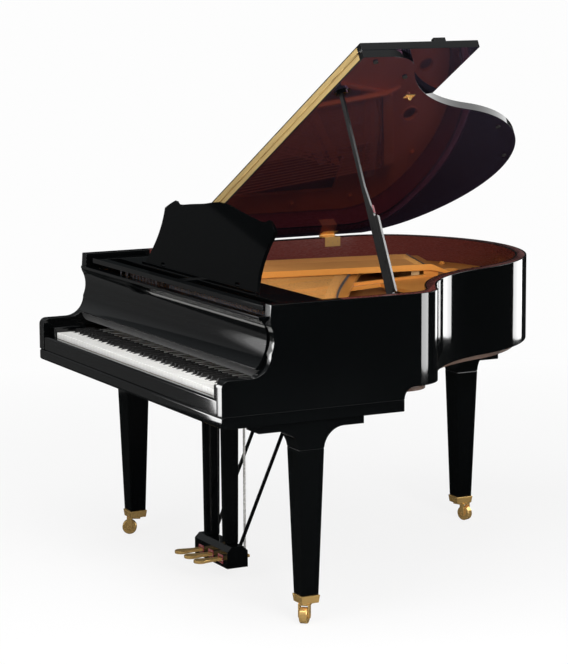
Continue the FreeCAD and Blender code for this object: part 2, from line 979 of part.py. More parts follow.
# Fallboard
def fallboard():
    wall = fallboard_wall
    reach = half_width - rim_wall - side_gap
    foot = fallboard_axis_y - fallboard_foot_reach
    edge = fallboard_foot_round
    cut_in = edge * (1 - math.sqrt(1 / 2))
    steps = (
        ((foot + cut_in, fallboard_axis_z + cut_in), (foot, fallboard_axis_z + edge)),
        ((fallboard_hollow_back, fallboard_hollow_height), (fallboard_shoulder, fallboard_shoulder_height)),
        ((fallboard_lip_front + wall / 2, fallboard_lip_height - wall / 3),
         (fallboard_lip_front, fallboard_lip_height)),
        ((fallboard_lip_front, fallboard_top),),
        ((fallboard_shoulder + wall / 2, fallboard_top),),
        ((fallboard_hollow_back + wall, fallboard_hollow_height), (fallboard_axis_y, fallboard_axis_z)),
    )
    panel = side_prism((foot + edge, fallboard_axis_z), steps, -reach, reach)
    roll = rod(fallboard_roll_radius, Vector(-reach, fallboard_axis_y, fallboard_axis_z),
               Vector(reach, fallboard_axis_y, fallboard_axis_z))
    board = panel.fuse(roll).removeSplitter()
    pins = fallboard_pins(0)
    for pin in pins:
        board = board.cut(pin)
    return group([board] + pins)


# Lid: drawn closed and flat, then swung up on its hinges
lid_low = rim_top + lid_rise
lid_high = lid_low + lid_thickness
lid_axis = Vector(-half_width - lid_axis_out, 0, lid_low)
along_y = Vector(0, 1, 0)
along_x = Vector(1, 0, 0)
flap_axis = Vector(0, lid_front - flap_gap / 2, lid_high + flap_lift)
bass_edge = draw_bend().at.y
lid_hinge_places = [share * bass_edge for share in lid_hinge_shares]


def raised(shape):
    return turned(shape, lid_axis, along_y, -lid_angle)


def folded(shape):
    """A piece of the flap, drawn closed, laid back on the lid."""
    return raised(turned(shape, flap_axis, along_x, 180))


def lid_slab(y_low, y_high):
    slab = outline_slab(-lid_overhang, lid_low, lid_high, y_low)
    wide = block(lid_axis.x, case_width, y_low, y_high, lid_low, lid_high)
    return slab.common(wide)


def flap_knuckle_room():
    start = Vector(-case_width, flap_axis.y, flap_axis.z)
    return rod(hinge_knuckle_radius + knuckle_room, start, Vector(case_width, flap_axis.y, flap_axis.z))


def hinge_room(place):
    half = lid_hinge_length / 2 + knuckle_gap
    start = Vector(lid_axis.x, place - half, lid_axis.z)
    return rod(lid_knuckle_radius + knuckle_room, start, start + along_y * (2 * half))


def lid():
    panel = lid_slab(lid_front, case_length + case_width).cut(flap_knuckle_room())
    for place in lid_hinge_places:
        half = lid_hinge_length / 2 + knuckle_gap
        strap_room = block(lid_axis.x, lid_axis.x + lid_hinge_reach + seat_gap, place - half, place + half,
                           lid_low - overrun, lid_low + lid_hinge_leaf)
        panel = panel.cut(hinge_room(place)).cut(strap_room)
    return raised(panel)


def lid_flap():
    panel = lid_slab(flap_front, flap_back).cut(flap_knuckle_room())
    block_low = lid_low - flap_block_height
    treble = half_width + lid_overhang - flap_block_inset
    place = flap_back - flap_depth * flap_block_share
    stop = block(treble - flap_block_depth, treble, place - flap_block_length / 2,
                 place + flap_block_length / 2, block_low, lid_low)
    return folded(group([panel, stop]))


hinge_low_x = lid_axis.x + hinge_end_clear
hinge_high_x = half_width + lid_overhang - hinge_end_clear


def flap_hinge(side):
    """One leaf of the long hinge with its knuckles, on the lid (1) or on the flap (-1)."""
    face = flap_axis.y + side * (flap_gap / 2)
    ends = sorted((face, face - side * hinge_leaf))
    leaf = block(hinge_low_x, hinge_high_x, ends[0], ends[1], lid_high - hinge_leaf_height, lid_high)
    pitch = (hinge_high_x - hinge_low_x) / hinge_knuckle_count
    bore = rod(hinge_pin_radius + running_gap, Vector(hinge_low_x, flap_axis.y, flap_axis.z),
               Vector(hinge_high_x, flap_axis.y, flap_axis.z))
    first = 0 if side > 0 else 1
    for index in range(hinge_knuckle_count):
        low = hinge_low_x + index * pitch + knuckle_gap / 2
        high = low + pitch - knuckle_gap
        start = Vector(low, flap_axis.y, flap_axis.z)
        if index % 2 == first:
            leaf = leaf.fuse(rod(hinge_knuckle_radius, start, Vector(high, flap_axis.y, flap_axis.z)))
        else:
            start.x = low - knuckle_gap
            end = Vector(high + knuckle_gap, flap_axis.y, flap_axis.z)
            leaf = leaf.cut(rod(hinge_knuckle_radius + knuckle_gap / 2, start, end))
    pieces = [leaf.cut(bore)]
    if side > 0:
        pieces.append(rod(hinge_pin_radius, Vector(hinge_low_x, flap_axis.y, flap_axis.z),
                          Vector(hinge_high_x, flap_axis.y, flap_axis.z)))
    return pieces


def lid_hinge_leaf_parts(place, on_lid):
    """Half of one lid hinge. The fixed half lies on the rim and turns down inside it."""
    half = lid_hinge_length / 2
    third = lid_hinge_length / lid_knuckle_count
    axis_start = Vector(lid_axis.x, place - half, lid_axis.z)
    if on_lid:
        leaf = block(lid_axis.x, lid_axis.x + lid_hinge_reach, place - half, place + half,
                     lid_low, lid_low + lid_hinge_leaf)
        own = (1,)
    else:
        leaf_top = rim_top + lid_hinge_leaf
        inner = -half_width + rim_wall
        leaf = block(lid_axis.x - lid_knuckle_radius, inner + lid_hinge_leaf, place - half, place + half,
                     rim_top, leaf_top)
        drop = block(inner, inner + lid_hinge_leaf, place - half, place + half,
                     rim_top - lid_hinge_drop, leaf_top)
        leaf = leaf.fuse(drop)
        own = (0, 2)
    for index in own:
        start = axis_start + along_y * (index * third + knuckle_gap / 2)
        end = axis_start + along_y * ((index + 1) * third - knuckle_gap / 2)
        leaf = leaf.fuse(rod(lid_knuckle_radius, start, end))
    others = [index for index in range(lid_knuckle_count) if index not in own]
    for index in others:
        start = axis_start + along_y * (index * third - knuckle_gap / 2)
        end = axis_start + along_y * ((index + 1) * third + knuckle_gap / 2)
        leaf = leaf.cut(rod(lid_knuckle_radius + knuckle_gap / 2, start, end))
    bore = rod(hinge_pin_radius + running_gap, axis_start, axis_start + along_y * lid_hinge_length)
    leaf = leaf.cut(bore)
    return leaf.removeSplitter()


def lid_hinge_plates():
    pieces = []
    for place in lid_hinge_places:
        pieces.append(lid_hinge_leaf_parts(place, False))
        start = Vector(lid_axis.x, place - lid_hinge_length / 2, lid_axis.z)
        pieces.append(rod(hinge_pin_radius, start, start + along_y * lid_hinge_length))
    return group(pieces)


def lid_hinge_straps():
    return raised(group([lid_hinge_leaf_parts(place, True) for place in lid_hinge_places]))


def lid_buttons():
    pads = []
    rim_middle = Part.Face(outline_wire(rim_wall / 2))
    for share in button_shares:
        y = share * case_length
        across = rim_middle.common(Part.makeLine(Vector(-case_width, y, 0), Vector(case_width, y, 0)))
        at = Vector(across.BoundBox.XMax, y, rim_top + seat_gap)
        pads.append(Part.makeCylinder(button_radius, lid_rise - seat_gap, at))
    return raised(group(pads))


# Lid prop: stands square to the raised lid and folds back over the strings
prop_base = Vector(prop_base_x, prop_base_y, prop_base_z)
lid_normal = Vector(-math.sin(math.radians(lid_angle)), 0, math.cos(math.radians(lid_angle)))
prop_fold_way = heading_vector(prop_fold_heading)
prop_way = Vector(-math.sin(math.radians(prop_lean)), 0, math.cos(math.radians(prop_lean)))
prop_axis = prop_way.cross(prop_fold_way).normalize()
prop_reach = (lid_axis - prop_base).dot(lid_normal) / prop_way.dot(lid_normal)
prop_tip = prop_base + prop_way * prop_reach
prop_length = prop_reach - prop_tip_gap - cup_plate
prop_fold = math.degrees(prop_way.getAngle(prop_fold_way))


def stood(shape, at, up):
    """Moves a piece drawn upright at the origin, with its pivot along x, to a place and slope."""
    side = prop_axis - up * prop_axis.dot(up)
    placed = shape.copy()
    turn = FreeCAD.Rotation(side, Vector(0, 0, 0), up, "ZXY")
    placed.Placement = FreeCAD.Placement(at, turn)
    return placed


def along_prop(shape):
    return stood(shape, prop_base, prop_way)


def lid_prop():
    half = prop_wall / 2
    slim = half - prop_slim_wall
    outline = ((-half, 0), (half, 0), (half, prop_length), (slim, prop_length),
               (slim, prop_shoulder + prop_taper), (-half, prop_shoulder))
    corners = [Vector(x, -prop_depth / 2, z) for x, z in outline]
    stick = Part.Face(Part.makePolygon(corners + corners[:1])).extrude(Vector(0, prop_depth, 0))
    foot = rod(prop_foot_radius, Vector(-half, 0, 0), Vector(half, 0, 0))
    stick = stick.fuse(foot).removeSplitter()
    bore = rod(prop_pin_radius + running_gap, Vector(-case_width, 0, 0), Vector(case_width, 0, 0))
    stick = stick.cut(bore)
    pivot = rod(prop_pin_radius, Vector(-half - seat_gap - short_prop_wall, 0, short_prop_pivot),
                Vector(-half, 0, short_prop_pivot))
    return along_prop(stick.fuse(pivot))


def short_prop():
    high = -prop_wall / 2 - seat_gap
    low = high - short_prop_wall
    half = prop_depth / 2
    stick = block(low, high, -half, half, short_prop_pivot, short_prop_length)
    foot = rod(half, Vector(low, 0, short_prop_pivot), Vector(high, 0, short_prop_pivot))
    stick = stick.fuse(foot).removeSplitter()
    bore = rod(prop_pin_radius + running_gap, Vector(-case_width, 0, short_prop_pivot),
               Vector(case_width, 0, short_prop_pivot))
    return along_prop(stick.cut(bore))


def prop_bracket():
    """Plate beside the foot of the prop, with the pin that it turns on and a leg to the rim."""
    half = prop_wall / 2
    plate_low = half + seat_gap
    plate_high = plate_low + prop_bracket_wall
    radius = prop_foot_radius
    plate = rod(radius, Vector(plate_low, 0, 0), Vector(plate_high, 0, 0))
    pin = rod(prop_pin_radius, Vector(-half, 0, 0), Vector(plate_low, 0, 0))
    turned_plate = along_prop(plate.fuse(pin))
    ledge_top = prop_base_z - radius - prop_ledge_clear
    middle = prop_base + prop_axis * (plate_low + prop_bracket_wall / 2)
    reach = half_width - rim_wall - seat_gap
    leg = block(middle.x - prop_bracket_wall, reach, middle.y - prop_bracket_half,
                middle.y + prop_bracket_half, ledge_top - prop_bracket_wall, ledge_top)
    drop = (prop_base_z - ledge_top + prop_bracket_wall / 2) / prop_way.z
    neck = along_prop(block(plate_low, plate_high, -prop_bracket_wall, prop_bracket_wall, -drop, 0))
    inside = block(-case_width, reach, 0, case_length, keybed_top, rim_top)
    return turned_plate.fuse(leg).fuse(neck.common(inside)).removeSplitter()


def prop_cup():
    """Plate under the lid with a wall round the tip of the prop, open on the side it folds to."""
    inner = math.hypot(prop_wall, prop_depth) / 2 + cup_room
    outer = inner + cup_wall
    plate = rod(cup_plate_radius, Vector(0, 0, -cup_plate), Vector(0, 0, 0))
    wall = rod(outer, Vector(0, 0, -cup_height), Vector(0, 0, -cup_plate))
    wall = wall.cut(rod(inner, Vector(0, 0, -cup_height - overrun), Vector(0, 0, -cup_plate)))
    mouth = block(-outer, outer, -outer, 0, -cup_height - overrun, -cup_plate)
    return stood(plate.fuse(wall.cut(mouth)).removeSplitter(), prop_tip, lid_normal)


# Music desk
shelf_half = inner_reach - shelf_side_clear


def music_shelf():
    board = block(-shelf_half, shelf_half, shelf_front, shelf_back, shelf_bottom, shelf_top)
    slot_back = shelf_slot_front + shelf_slot_depth
    reach = shelf_half - shelf_slot_end
    for low, high in ((-reach, -shelf_slot_end / 2), (shelf_slot_end / 2, reach)):
        slot = block(low, high, shelf_slot_front, slot_back, shelf_bottom - overrun, shelf_top + overrun)
        board = board.cut(slot)
    ledge_back = desk_axis_y - shelf_ledge_clear
    rooted = shelf_top - shelf_thickness / 2
    ledge = block(-desk_foot_half, desk_foot_half, ledge_back - shelf_ledge_depth, ledge_back, rooted,
                  shelf_top + shelf_ledge)
    board = board.fuse(ledge).removeSplitter()
    nose = desk_lug / 2
    steps = (
        ((desk_axis_y - nose, desk_axis_z),),
        ((desk_axis_y, desk_axis_z + nose), (desk_axis_y + nose, desk_axis_z)),
        ((desk_axis_y + nose, shelf_top),),
    )
    hinges = []
    for middle in desk_lug_places():
        half = desk_pin_length / 2
        lug = side_prism((desk_axis_y - nose, shelf_top), steps, middle - half, middle + half)
        start = Vector(middle - desk_pin_length, desk_axis_y, desk_axis_z)
        end = Vector(middle + desk_pin_length, desk_axis_y, desk_axis_z)
        hinges.append(lug.cut(rod(desk_pin_radius + running_gap, start, end)))
        hinges.append(rod(desk_pin_radius, start, end))
    return group([board] + hinges)


def desk_lug_places():
    return (-desk_foot_half * 2 / 3, desk_foot_half * 2 / 3)


def leaned(shape):
    """Lays a piece of the desk, drawn upright on its axis, back to its resting slope."""
    return turned(shape, Vector(0, desk_axis_y, desk_axis_z), along_x, -desk_lean)


def music_desk():
    front = desk_axis_y - desk_thickness / 2
    foot = desk_axis_z - desk_foot

    def place(x, v):
        return Vector(x, front, desk_axis_z + v)

    rise = -desk_foot
    ear_mid = ((desk_shoulder_half + desk_ear_half) / 2 + desk_ear_bulge,
               (desk_shoulder_height + desk_ear_height) / 2 + desk_ear_bulge)
    waist_mid = (desk_waist_half, desk_waist_height)
    crest_side = (desk_dip_half / 2, (desk_dip_height + desk_crest_height) / 2)
    half = [(desk_foot_half, rise), waist_mid, (desk_shoulder_half, desk_shoulder_height), ear_mid,
            (desk_ear_half, desk_ear_height), (desk_dip_half, desk_dip_height), crest_side,
            (0, desk_crest_height)]
    edges = []
    for side in (1, -1):
        points = [place(side * x, v) for x, v in half]
        flank = Part.BSplineCurve()
        flank.interpolate(points[:3])
        ear = Part.Arc(points[2], points[3], points[4])
        top = Part.BSplineCurve()
        top.interpolate(points[4:], InitialTangent=Vector(-side, 0, -diagonal),
                        FinalTangent=Vector(-side, 0, 0))
        edges += [flank.toShape(), ear.toShape(), top.toShape()]
    edges.append(Part.LineSegment(place(desk_foot_half, rise), place(-desk_foot_half, rise)).toShape())
    wire = Part.Wire(Part.__sortEdges__(edges))
    board = Part.Face(wire).extrude(Vector(0, desk_thickness, 0))
    for middle in desk_lug_places():
        half_room = desk_pin_length / 2 + seat_gap
        room = block(middle - half_room, middle + half_room, front - overrun,
                     front + desk_thickness + overrun, foot - overrun, desk_axis_z + desk_lug)
        bore_half = desk_pin_length + seat_gap
        bore = rod(desk_pin_radius + running_gap, Vector(middle - bore_half, desk_axis_y, desk_axis_z),
                   Vector(middle + bore_half, desk_axis_y, desk_axis_z))
        board = board.cut(room).cut(bore)
    back = front + desk_thickness
    lugs = []
    for side in (-1, 1):
        inner = strut_width / 2 + seat_gap
        ends = sorted((side * inner, side * (inner + strut_lug / 2)))
        axis_y = strut_pivot_back
        lug = block(ends[0], ends[1], back, axis_y, strut_pivot_up - strut_thickness,
                    strut_pivot_up + strut_thickness)
        nose = rod(strut_thickness, Vector(ends[0], axis_y, strut_pivot_up),
                   Vector(ends[1], axis_y, strut_pivot_up))
        lugs.append(lug.fuse(nose))
    for lug in lugs:
        board = board.fuse(lug)
    reach = strut_width / 2 + seat_gap + strut_lug / 2
    pin = rod(desk_pin_radius / 2, Vector(-reach, strut_pivot_back, strut_pivot_up),
              Vector(reach, strut_pivot_back, strut_pivot_up))
    board = board.fuse(pin).removeSplitter()
    return leaned(board)


strut_pivot_back = desk_axis_y + desk_thickness / 2 + strut_thickness + seat_gap
strut_pivot_up = desk_axis_z + strut_hold


def strut_pivot():
    lean = math.radians(desk_lean)
    back = strut_pivot_back - desk_axis_y
    y = desk_axis_y + back * math.cos(lean) + strut_hold * math.sin(lean)
    z = desk_axis_z - back * math.sin(lean) + strut_hold * math.cos(lean)
    return Vector(0, y, z)


def desk_strut():
    pivot = strut_pivot()
    half = strut_width / 2
    thick = strut_thickness / 2
    bar = block(-half, half, pivot.y, pivot.y + strut_length, pivot.z - thick, pivot.z + thick)
    eye = rod(thick, Vector(-half, pivot.y, pivot.z), Vector(half, pivot.y, pivot.z))
    bore = rod(desk_pin_radius / 2 + running_gap, Vector(-case_width, pivot.y, pivot.z),
               Vector(case_width, pivot.y, pivot.z))
    bar = bar.fuse(eye).removeSplitter().cut(bore)
    return turned(bar, pivot, along_x, -strut_lean)


def desk_rails():
    rails = []
    top = shelf_bottom - seat_gap
    low = top - desk_rail_height
    steps = (
        ((desk_rail_front, top),),
        ((desk_rail_back - desk_rail_slope, top),),
        ((desk_rail_back, low),),
    )
    for side in (-1, 1):
        ends = sorted((side * inner_reach, side * (inner_reach - desk_rail_wall)))
        rails.append(side_prism((desk_rail_front, low), steps, ends[0], ends[1]))
    return group(rails)


# Legs and casters
leg_places = {
    "bass": Vector(-half_width + leg_side_inset, leg_side_y, 0),
    "treble": Vector(half_width - leg_side_inset, leg_side_y, 0),
    "tail": Vector(half_width * leg_tail_share, case_length - leg_tail_inset, 0),
}


def square(half, at, z):
    corners = [Vector(at.x + x * half, at.y + y * half, z) for x, y in ((-1, -1), (1, -1), (1, 1), (-1, 1))]
    return Part.makePolygon(corners + corners[:1])


def legs():
    pieces = []
    for at in leg_places.values():
        foot = square(leg_foot_width / 2, at, ferrule_top)
        head = square(leg_top_width / 2, at, leg_top)
        pieces.append(Part.makeLoft([foot, head], True, True))
    return group(pieces)


def bracket_solid(seat):
    """Flared block between a leg and the case, drawn along y over the origin."""
    half = leg_top_width / 2
    end_low = min(seat, keybed_bottom) - bracket_end
    run = half + bracket_run
    curve = (half + (run - half) * (1 - diagonal), leg_top + (end_low - leg_top) * diagonal)
    back_curve = (-curve[0], curve[1])
    steps = (
        (back_curve, (-half, leg_top)),
        ((half, leg_top),),
        (curve, (run, end_low)),
        ((bracket_half, end_low),),
        ((bracket_half, seat),),
        ((-bracket_half, seat),),
        ((-bracket_half, end_low),),
    )
    return side_prism((-run, end_low), steps, -half, half)


def leg_brackets():
    pieces = []
    for name, at in leg_places.items():
        seat = inner_rim_bottom if name == "tail" else keybed_bottom
        piece = bracket_solid(seat)
        if name == "tail":
            piece = turned(piece, Vector(0, 0, 0), Vector(0, 0, 1), 90)
        piece.translate(at)
        pieces.append(piece)
    return group(pieces)


def leg_ferrules():
    pieces = []
    for at in leg_places.values():
        half = leg_foot_width / 2 + ferrule_proud
        rings = [square(half - ferrule_proud, at, ferrule_low), square(half, at, ferrule_top)]
        cup = Part.makeLoft(rings, True, True)
        socket = Part.makeCylinder(caster_stem_radius + running_gap, caster_stem_height + seat_gap,
                                   Vector(at.x, at.y, ferrule_low))
        pieces.append(cup.cut(socket))
    return group(pieces)


def caster_way(name):
    return heading_vector(caster_headings[name])


def caster_hub(name):
    at = leg_places[name] + caster_way(name) * caster_trail
    return Vector(at.x, at.y, caster_wheel_radius)


def caster_turned(shape, name):
    """Turns a caster piece, drawn at the origin trailing along x, to its place under a leg."""
    placed = turned(shape, Vector(0, 0, 0), Vector(0, 0, 1), caster_headings[name])
    placed.translate(leg_places[name])
    return placed


def caster_fork(name):
    plate_high = ferrule_low - seat_gap
    plate_low = plate_high - caster_plate
    inner = caster_wheel_width / 2 + caster_cheek_gap
    outer = inner + caster_cheek
    half = outer
    plate = block(-half, caster_trail + half / 2, -outer, outer, plate_low, plate_high)
    stem = Part.makeCylinder(caster_stem_radius, caster_stem_height + seat_gap, Vector(0, 0, plate_high))
    fork = plate.fuse(stem)
    for side in (-1, 1):
        ends = sorted((side * inner, side * outer))
        start = Vector(caster_trail, ends[0], caster_wheel_radius)
        eye = Part.makeCylinder(outer / 2, caster_cheek, start, along_y)
        arm = block(caster_trail - outer / 2, caster_trail + outer / 2, ends[0], ends[1],
                    caster_wheel_radius, plate_low + seat_gap)
        fork = fork.fuse(eye).fuse(arm)
    bore = Part.makeCylinder(caster_axle_radius + running_gap, 4 * outer,
                             Vector(caster_trail, -2 * outer, caster_wheel_radius), along_y)
    return caster_turned(fork.removeSplitter().cut(bore), name)


def caster_wheel(name):
    half = caster_wheel_width / 2
    reach = half + caster_cheek_gap + caster_cheek
    edge = caster_axle_radius / 2
    middle = Vector(caster_trail, 0, caster_wheel_radius)
    section = (
        (0, -reach), (caster_axle_radius, -reach), (caster_axle_radius, -half),
        (caster_wheel_radius - edge, -half), (caster_wheel_radius, -half + edge),
        (caster_wheel_radius, half - edge), (caster_wheel_radius - edge, half),
        (caster_axle_radius, half), (caster_axle_radius, reach), (0, reach),
    )
    corners = [middle + Vector(radius, across, 0) for radius, across in section]
    face = Part.Face(Part.makePolygon(corners + corners[:1]))
    return caster_turned(face.revolve(middle, along_y, 360), name)


# Pedal lyre
lyre_middle = lyre_front + box_depth / 2


def lyre_posts():
    """Two posts that widen upwards, with the block that holds them under the keybed."""
    pieces = []
    for side in (-1, 1):
        ends = sorted((side * post_half_gap, side * (post_half_gap + post_width)))
        steps = (
            ((lyre_middle + post_foot_depth / 2, box_top),),
            ((lyre_middle + post_depth / 2, lyre_top_low),),
            ((lyre_middle - post_depth / 2, lyre_top_low),),
        )
        pieces.append(side_prism((lyre_middle - post_foot_depth / 2, box_top), steps, ends[0], ends[1]))
    pieces.append(block(-lyre_top_half, lyre_top_half, lyre_front, box_back, lyre_top_low, keybed_bottom))
    return group(pieces)


pedal_places = {"soft_pedal": -pedal_pitch, "sustain_hold_pedal": 0, "damper_pedal": pedal_pitch}
rod_names = {"soft_pedal": "soft_rod", "sustain_hold_pedal": "sustain_hold_rod", "damper_pedal": "damper_rod"}


def pedal_box():
    """Hollow box, open below, with slots for the pedals in front and for their tails behind."""
    edge = box_chamfer
    steps = (
        ((lyre_front, box_top - edge),),
        ((lyre_front + edge, box_top),),
        ((box_back - edge, box_top),),
        ((box_back, box_top - edge),),
        ((box_back, box_bottom),),
    )
    shell = side_prism((lyre_front, box_bottom), steps, -box_half, box_half)
    inside = block(-box_half + box_wall, box_half - box_wall, lyre_front + box_wall, box_back - box_wall,
                   box_bottom - overrun, box_top - box_wall - edge / 2)
    shell = shell.cut(inside)
    room = pedal_slot_room
    for middle in pedal_places.values():
        half = pedal_width / 2 + room
        slot = block(middle - half, middle + half, lyre_front - overrun, box_back + overrun,
                     pedal_height - 2 * room, pedal_height + pedal_thickness + 2 * room)
        shell = shell.cut(slot)
    pin_hole = rod(pedal_pin_radius, Vector(-box_half - overrun, pedal_axis_y, pedal_axis_z),
                   Vector(box_half + overrun, pedal_axis_y, pedal_axis_z))
    return group([shell.cut(pin_hole), pedal_pin()])


pedal_axis_z = pedal_height + pedal_thickness / 2


def pedal_pin():
    return rod(pedal_pin_radius, Vector(-box_half, pedal_axis_y, pedal_axis_z),
               Vector(box_half, pedal_axis_y, pedal_axis_z))


def pedal(name):
    middle = pedal_places[name]
    half = pedal_width / 2
    top = pedal_height + pedal_thickness
    head_half = pedal_head / 2
    head_back = pedal_tip_y + pedal_head_length
    lever = block(middle - half, middle + half, head_back - half, pedal_tail, pedal_height, top)
    head_middle = Vector(middle, pedal_tip_y + head_half, pedal_height)
    toe = Part.makeCylinder(head_half, pedal_thickness, head_middle)
    neck = plan_prism(((middle - head_half, head_middle.y), (middle + head_half, head_middle.y),
                       (middle + half, head_back), (middle - half, head_back)), pedal_height, top)
    hub = rod(pedal_thickness, Vector(middle - half, pedal_axis_y, pedal_axis_z),
              Vector(middle + half, pedal_axis_y, pedal_axis_z))
    shape = lever.fuse(toe).fuse(neck).fuse(hub).removeSplitter()
    bore = rod(pedal_pin_radius + running_gap, Vector(-case_width, pedal_axis_y, pedal_axis_z),
               Vector(case_width, pedal_axis_y, pedal_axis_z))
    return shape.cut(bore)


def pedal_rod(name):
    middle = pedal_places[name]
    start = Vector(middle, rod_line, pedal_height + pedal_thickness + seat_gap)
    return rod(rod_radius, start, Vector(middle, rod_line, keybed_bottom - rod_headroom))


def lyre_braces():
    pieces = []
    middle = brace_half_gap
    for side in (-1, 1):
        start = Vector(side * middle, box_back - box_chamfer, box_top - box_chamfer / 2)
        end = Vector(side * middle, brace_top_y, keybed_bottom)
        way = (end - start).normalize()
        bar = rod(brace_radius, start - way * overrun, end + way * overrun)
        trim_low = side_prism((lyre_front, box_bottom), (
            ((lyre_front, box_top),), ((box_back - box_chamfer, box_top),),
            ((box_back, box_top - box_chamfer),), ((box_back, box_bottom),)), -case_width, case_width)
        trim_high = block(-case_width, case_width, 0, case_length, keybed_bottom, rim_top)
        pieces.append(bar.cut(trim_low).cut(trim_high))
    return group(pieces)


# All pieces by name
pieces = {
    "outer_rim": outer_rim(),
    "inner_rim": inner_rim(),
    "back_beams": back_beams(),
    "soundboard": soundboard(),
    "soundboard_ribs": soundboard_ribs(),
    "bridges": bridges(),
    "iron_plate": iron_plate(),
    "pin_block": pin_block(),
    "tuning_pins": tuning_pins(),
    "plain_strings": strings(range(bass_note_count, note_count)),
    "wound_strings": strings(range(bass_note_count)),
    "dampers": dampers(),
    "keybed": keybed(),
    "key_slip": key_slip(),
    "key_blocks": key_blocks(),
    "action_frame": action_frame(),
    "hammers": hammers(),
    "white_keys": standing_keys(False),
    "black_keys": standing_keys(True),
    "fallboard": fallboard(),
    "lid": lid(),
    "lid_flap": lid_flap(),
    "lid_hinge_plates": lid_hinge_plates(),
    "lid_hinge_straps": lid_hinge_straps(),
    "lid_buttons": lid_buttons(),
    "flap_hinge_lid_leaf": raised(group(flap_hinge(1))),
    "flap_hinge_flap_leaf": folded(group(flap_hinge(-1))),
    "lid_prop": lid_prop(),
    "short_prop": short_prop(),
    "prop_bracket": prop_bracket(),
    "prop_cup": prop_cup(),
    "music_shelf": music_shelf(),
    "music_desk": music_desk(),
    "desk_strut": desk_strut(),
    "desk_rails": desk_rails(),
    "legs": legs(),
    "leg_brackets": leg_brackets(),
    "leg_ferrules": leg_ferrules(),
    "lyre_posts": lyre_posts(),
    "lyre_braces": lyre_braces(),
    "pedal_box": pedal_box(),
}
for note, name in zip(moving_range, moving_notes):
    pieces["key_" + name] = key_solid(note)
for name in leg_places:
    pieces[name + "_caster_fork"] = caster_fork(name)
    pieces[name + "_caster_wheel"] = caster_wheel(name)
for name in pedal_places:
    pieces[name] = pedal(name)
    pieces[rod_names[name]] = pedal_rod(name)

# The origin goes to the floor under the middle of the whole piano
whole = Part.Compound(list(pieces.values())).BoundBox
origin = Vector((whole.XMin + whole.XMax) / 2, (whole.YMin + whole.YMax) / 2, whole.ZMin)
os.makedirs("parts", exist_ok=True)
for name, shape in pieces.items():
    shape.translate(-origin)
    shape.exportStep("parts/" + name + ".step")

# Places that the joints turn about, for reading
print("size", round(whole.XLength, 2), round(whole.YLength, 2), round(whole.ZLength, 2))
print("origin", origin.x, origin.y, origin.z)
axes = {
    "lid": lid_axis,
    "flap": turned(Part.Vertex(flap_axis), lid_axis, along_y, -lid_angle).Point,
    "prop": prop_base,
    "short_prop": prop_base + prop_way * short_prop_pivot,
    "fallboard": Vector(0, fallboard_axis_y, fallboard_axis_z),
    "desk": Vector(0, desk_axis_y, desk_axis_z),
    "strut": strut_pivot(),
    "pedal": Vector(0, pedal_axis_y, pedal_axis_z),
    "key": Vector(0, balance_line, key_top - key_thickness),
}
for name in leg_places:
    axes[name + "_leg"] = leg_places[name]
    axes[name + "_hub"] = caster_hub(name)
for name, place in axes.items():
    print("axis", name, *(place - origin))
print("prop_axis", *prop_axis, "fold", prop_fold, "length", prop_length)
print("lid_way", *turned(Part.Vertex(along_x), Vector(0, 0, 0), along_y, -lid_angle).Point)
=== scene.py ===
import bpy
import json
import math
from mathutils import Matrix, Vector

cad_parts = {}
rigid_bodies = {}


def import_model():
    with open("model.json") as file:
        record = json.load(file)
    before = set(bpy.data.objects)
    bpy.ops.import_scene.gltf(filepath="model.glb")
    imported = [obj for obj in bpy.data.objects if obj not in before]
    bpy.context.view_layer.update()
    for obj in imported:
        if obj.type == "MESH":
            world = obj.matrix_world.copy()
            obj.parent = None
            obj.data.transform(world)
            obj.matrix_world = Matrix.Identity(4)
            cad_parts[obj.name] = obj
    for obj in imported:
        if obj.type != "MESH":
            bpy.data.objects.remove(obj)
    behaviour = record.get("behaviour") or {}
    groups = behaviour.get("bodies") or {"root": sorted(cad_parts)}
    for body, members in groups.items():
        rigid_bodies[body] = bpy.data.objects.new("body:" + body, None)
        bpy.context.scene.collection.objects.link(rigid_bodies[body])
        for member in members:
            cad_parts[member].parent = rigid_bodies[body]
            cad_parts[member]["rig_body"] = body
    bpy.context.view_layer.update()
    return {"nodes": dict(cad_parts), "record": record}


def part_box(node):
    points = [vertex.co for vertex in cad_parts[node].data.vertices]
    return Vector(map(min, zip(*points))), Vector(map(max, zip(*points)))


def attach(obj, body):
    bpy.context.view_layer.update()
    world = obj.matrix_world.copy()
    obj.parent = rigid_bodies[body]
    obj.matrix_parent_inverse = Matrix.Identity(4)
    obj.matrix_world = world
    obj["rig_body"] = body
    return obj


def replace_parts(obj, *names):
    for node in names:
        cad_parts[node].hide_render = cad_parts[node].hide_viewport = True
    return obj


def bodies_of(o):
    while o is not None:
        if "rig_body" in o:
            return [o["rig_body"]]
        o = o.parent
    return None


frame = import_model()
bpy.ops.object.select_all(action="DESELECT")

# Workshop measures: millimetres from the middle of the keyboard, the front of the keybed and the floor
keybed_low, keybed_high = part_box("keybed")
KEYBOARD_MIDDLE = (keybed_low.x + keybed_high.x) / 2
KEYBED_FRONT = keybed_low.y


def spot(x, y, z):
    return Vector((KEYBOARD_MIDDLE + x / 1000, KEYBED_FRONT + y / 1000, z / 1000))


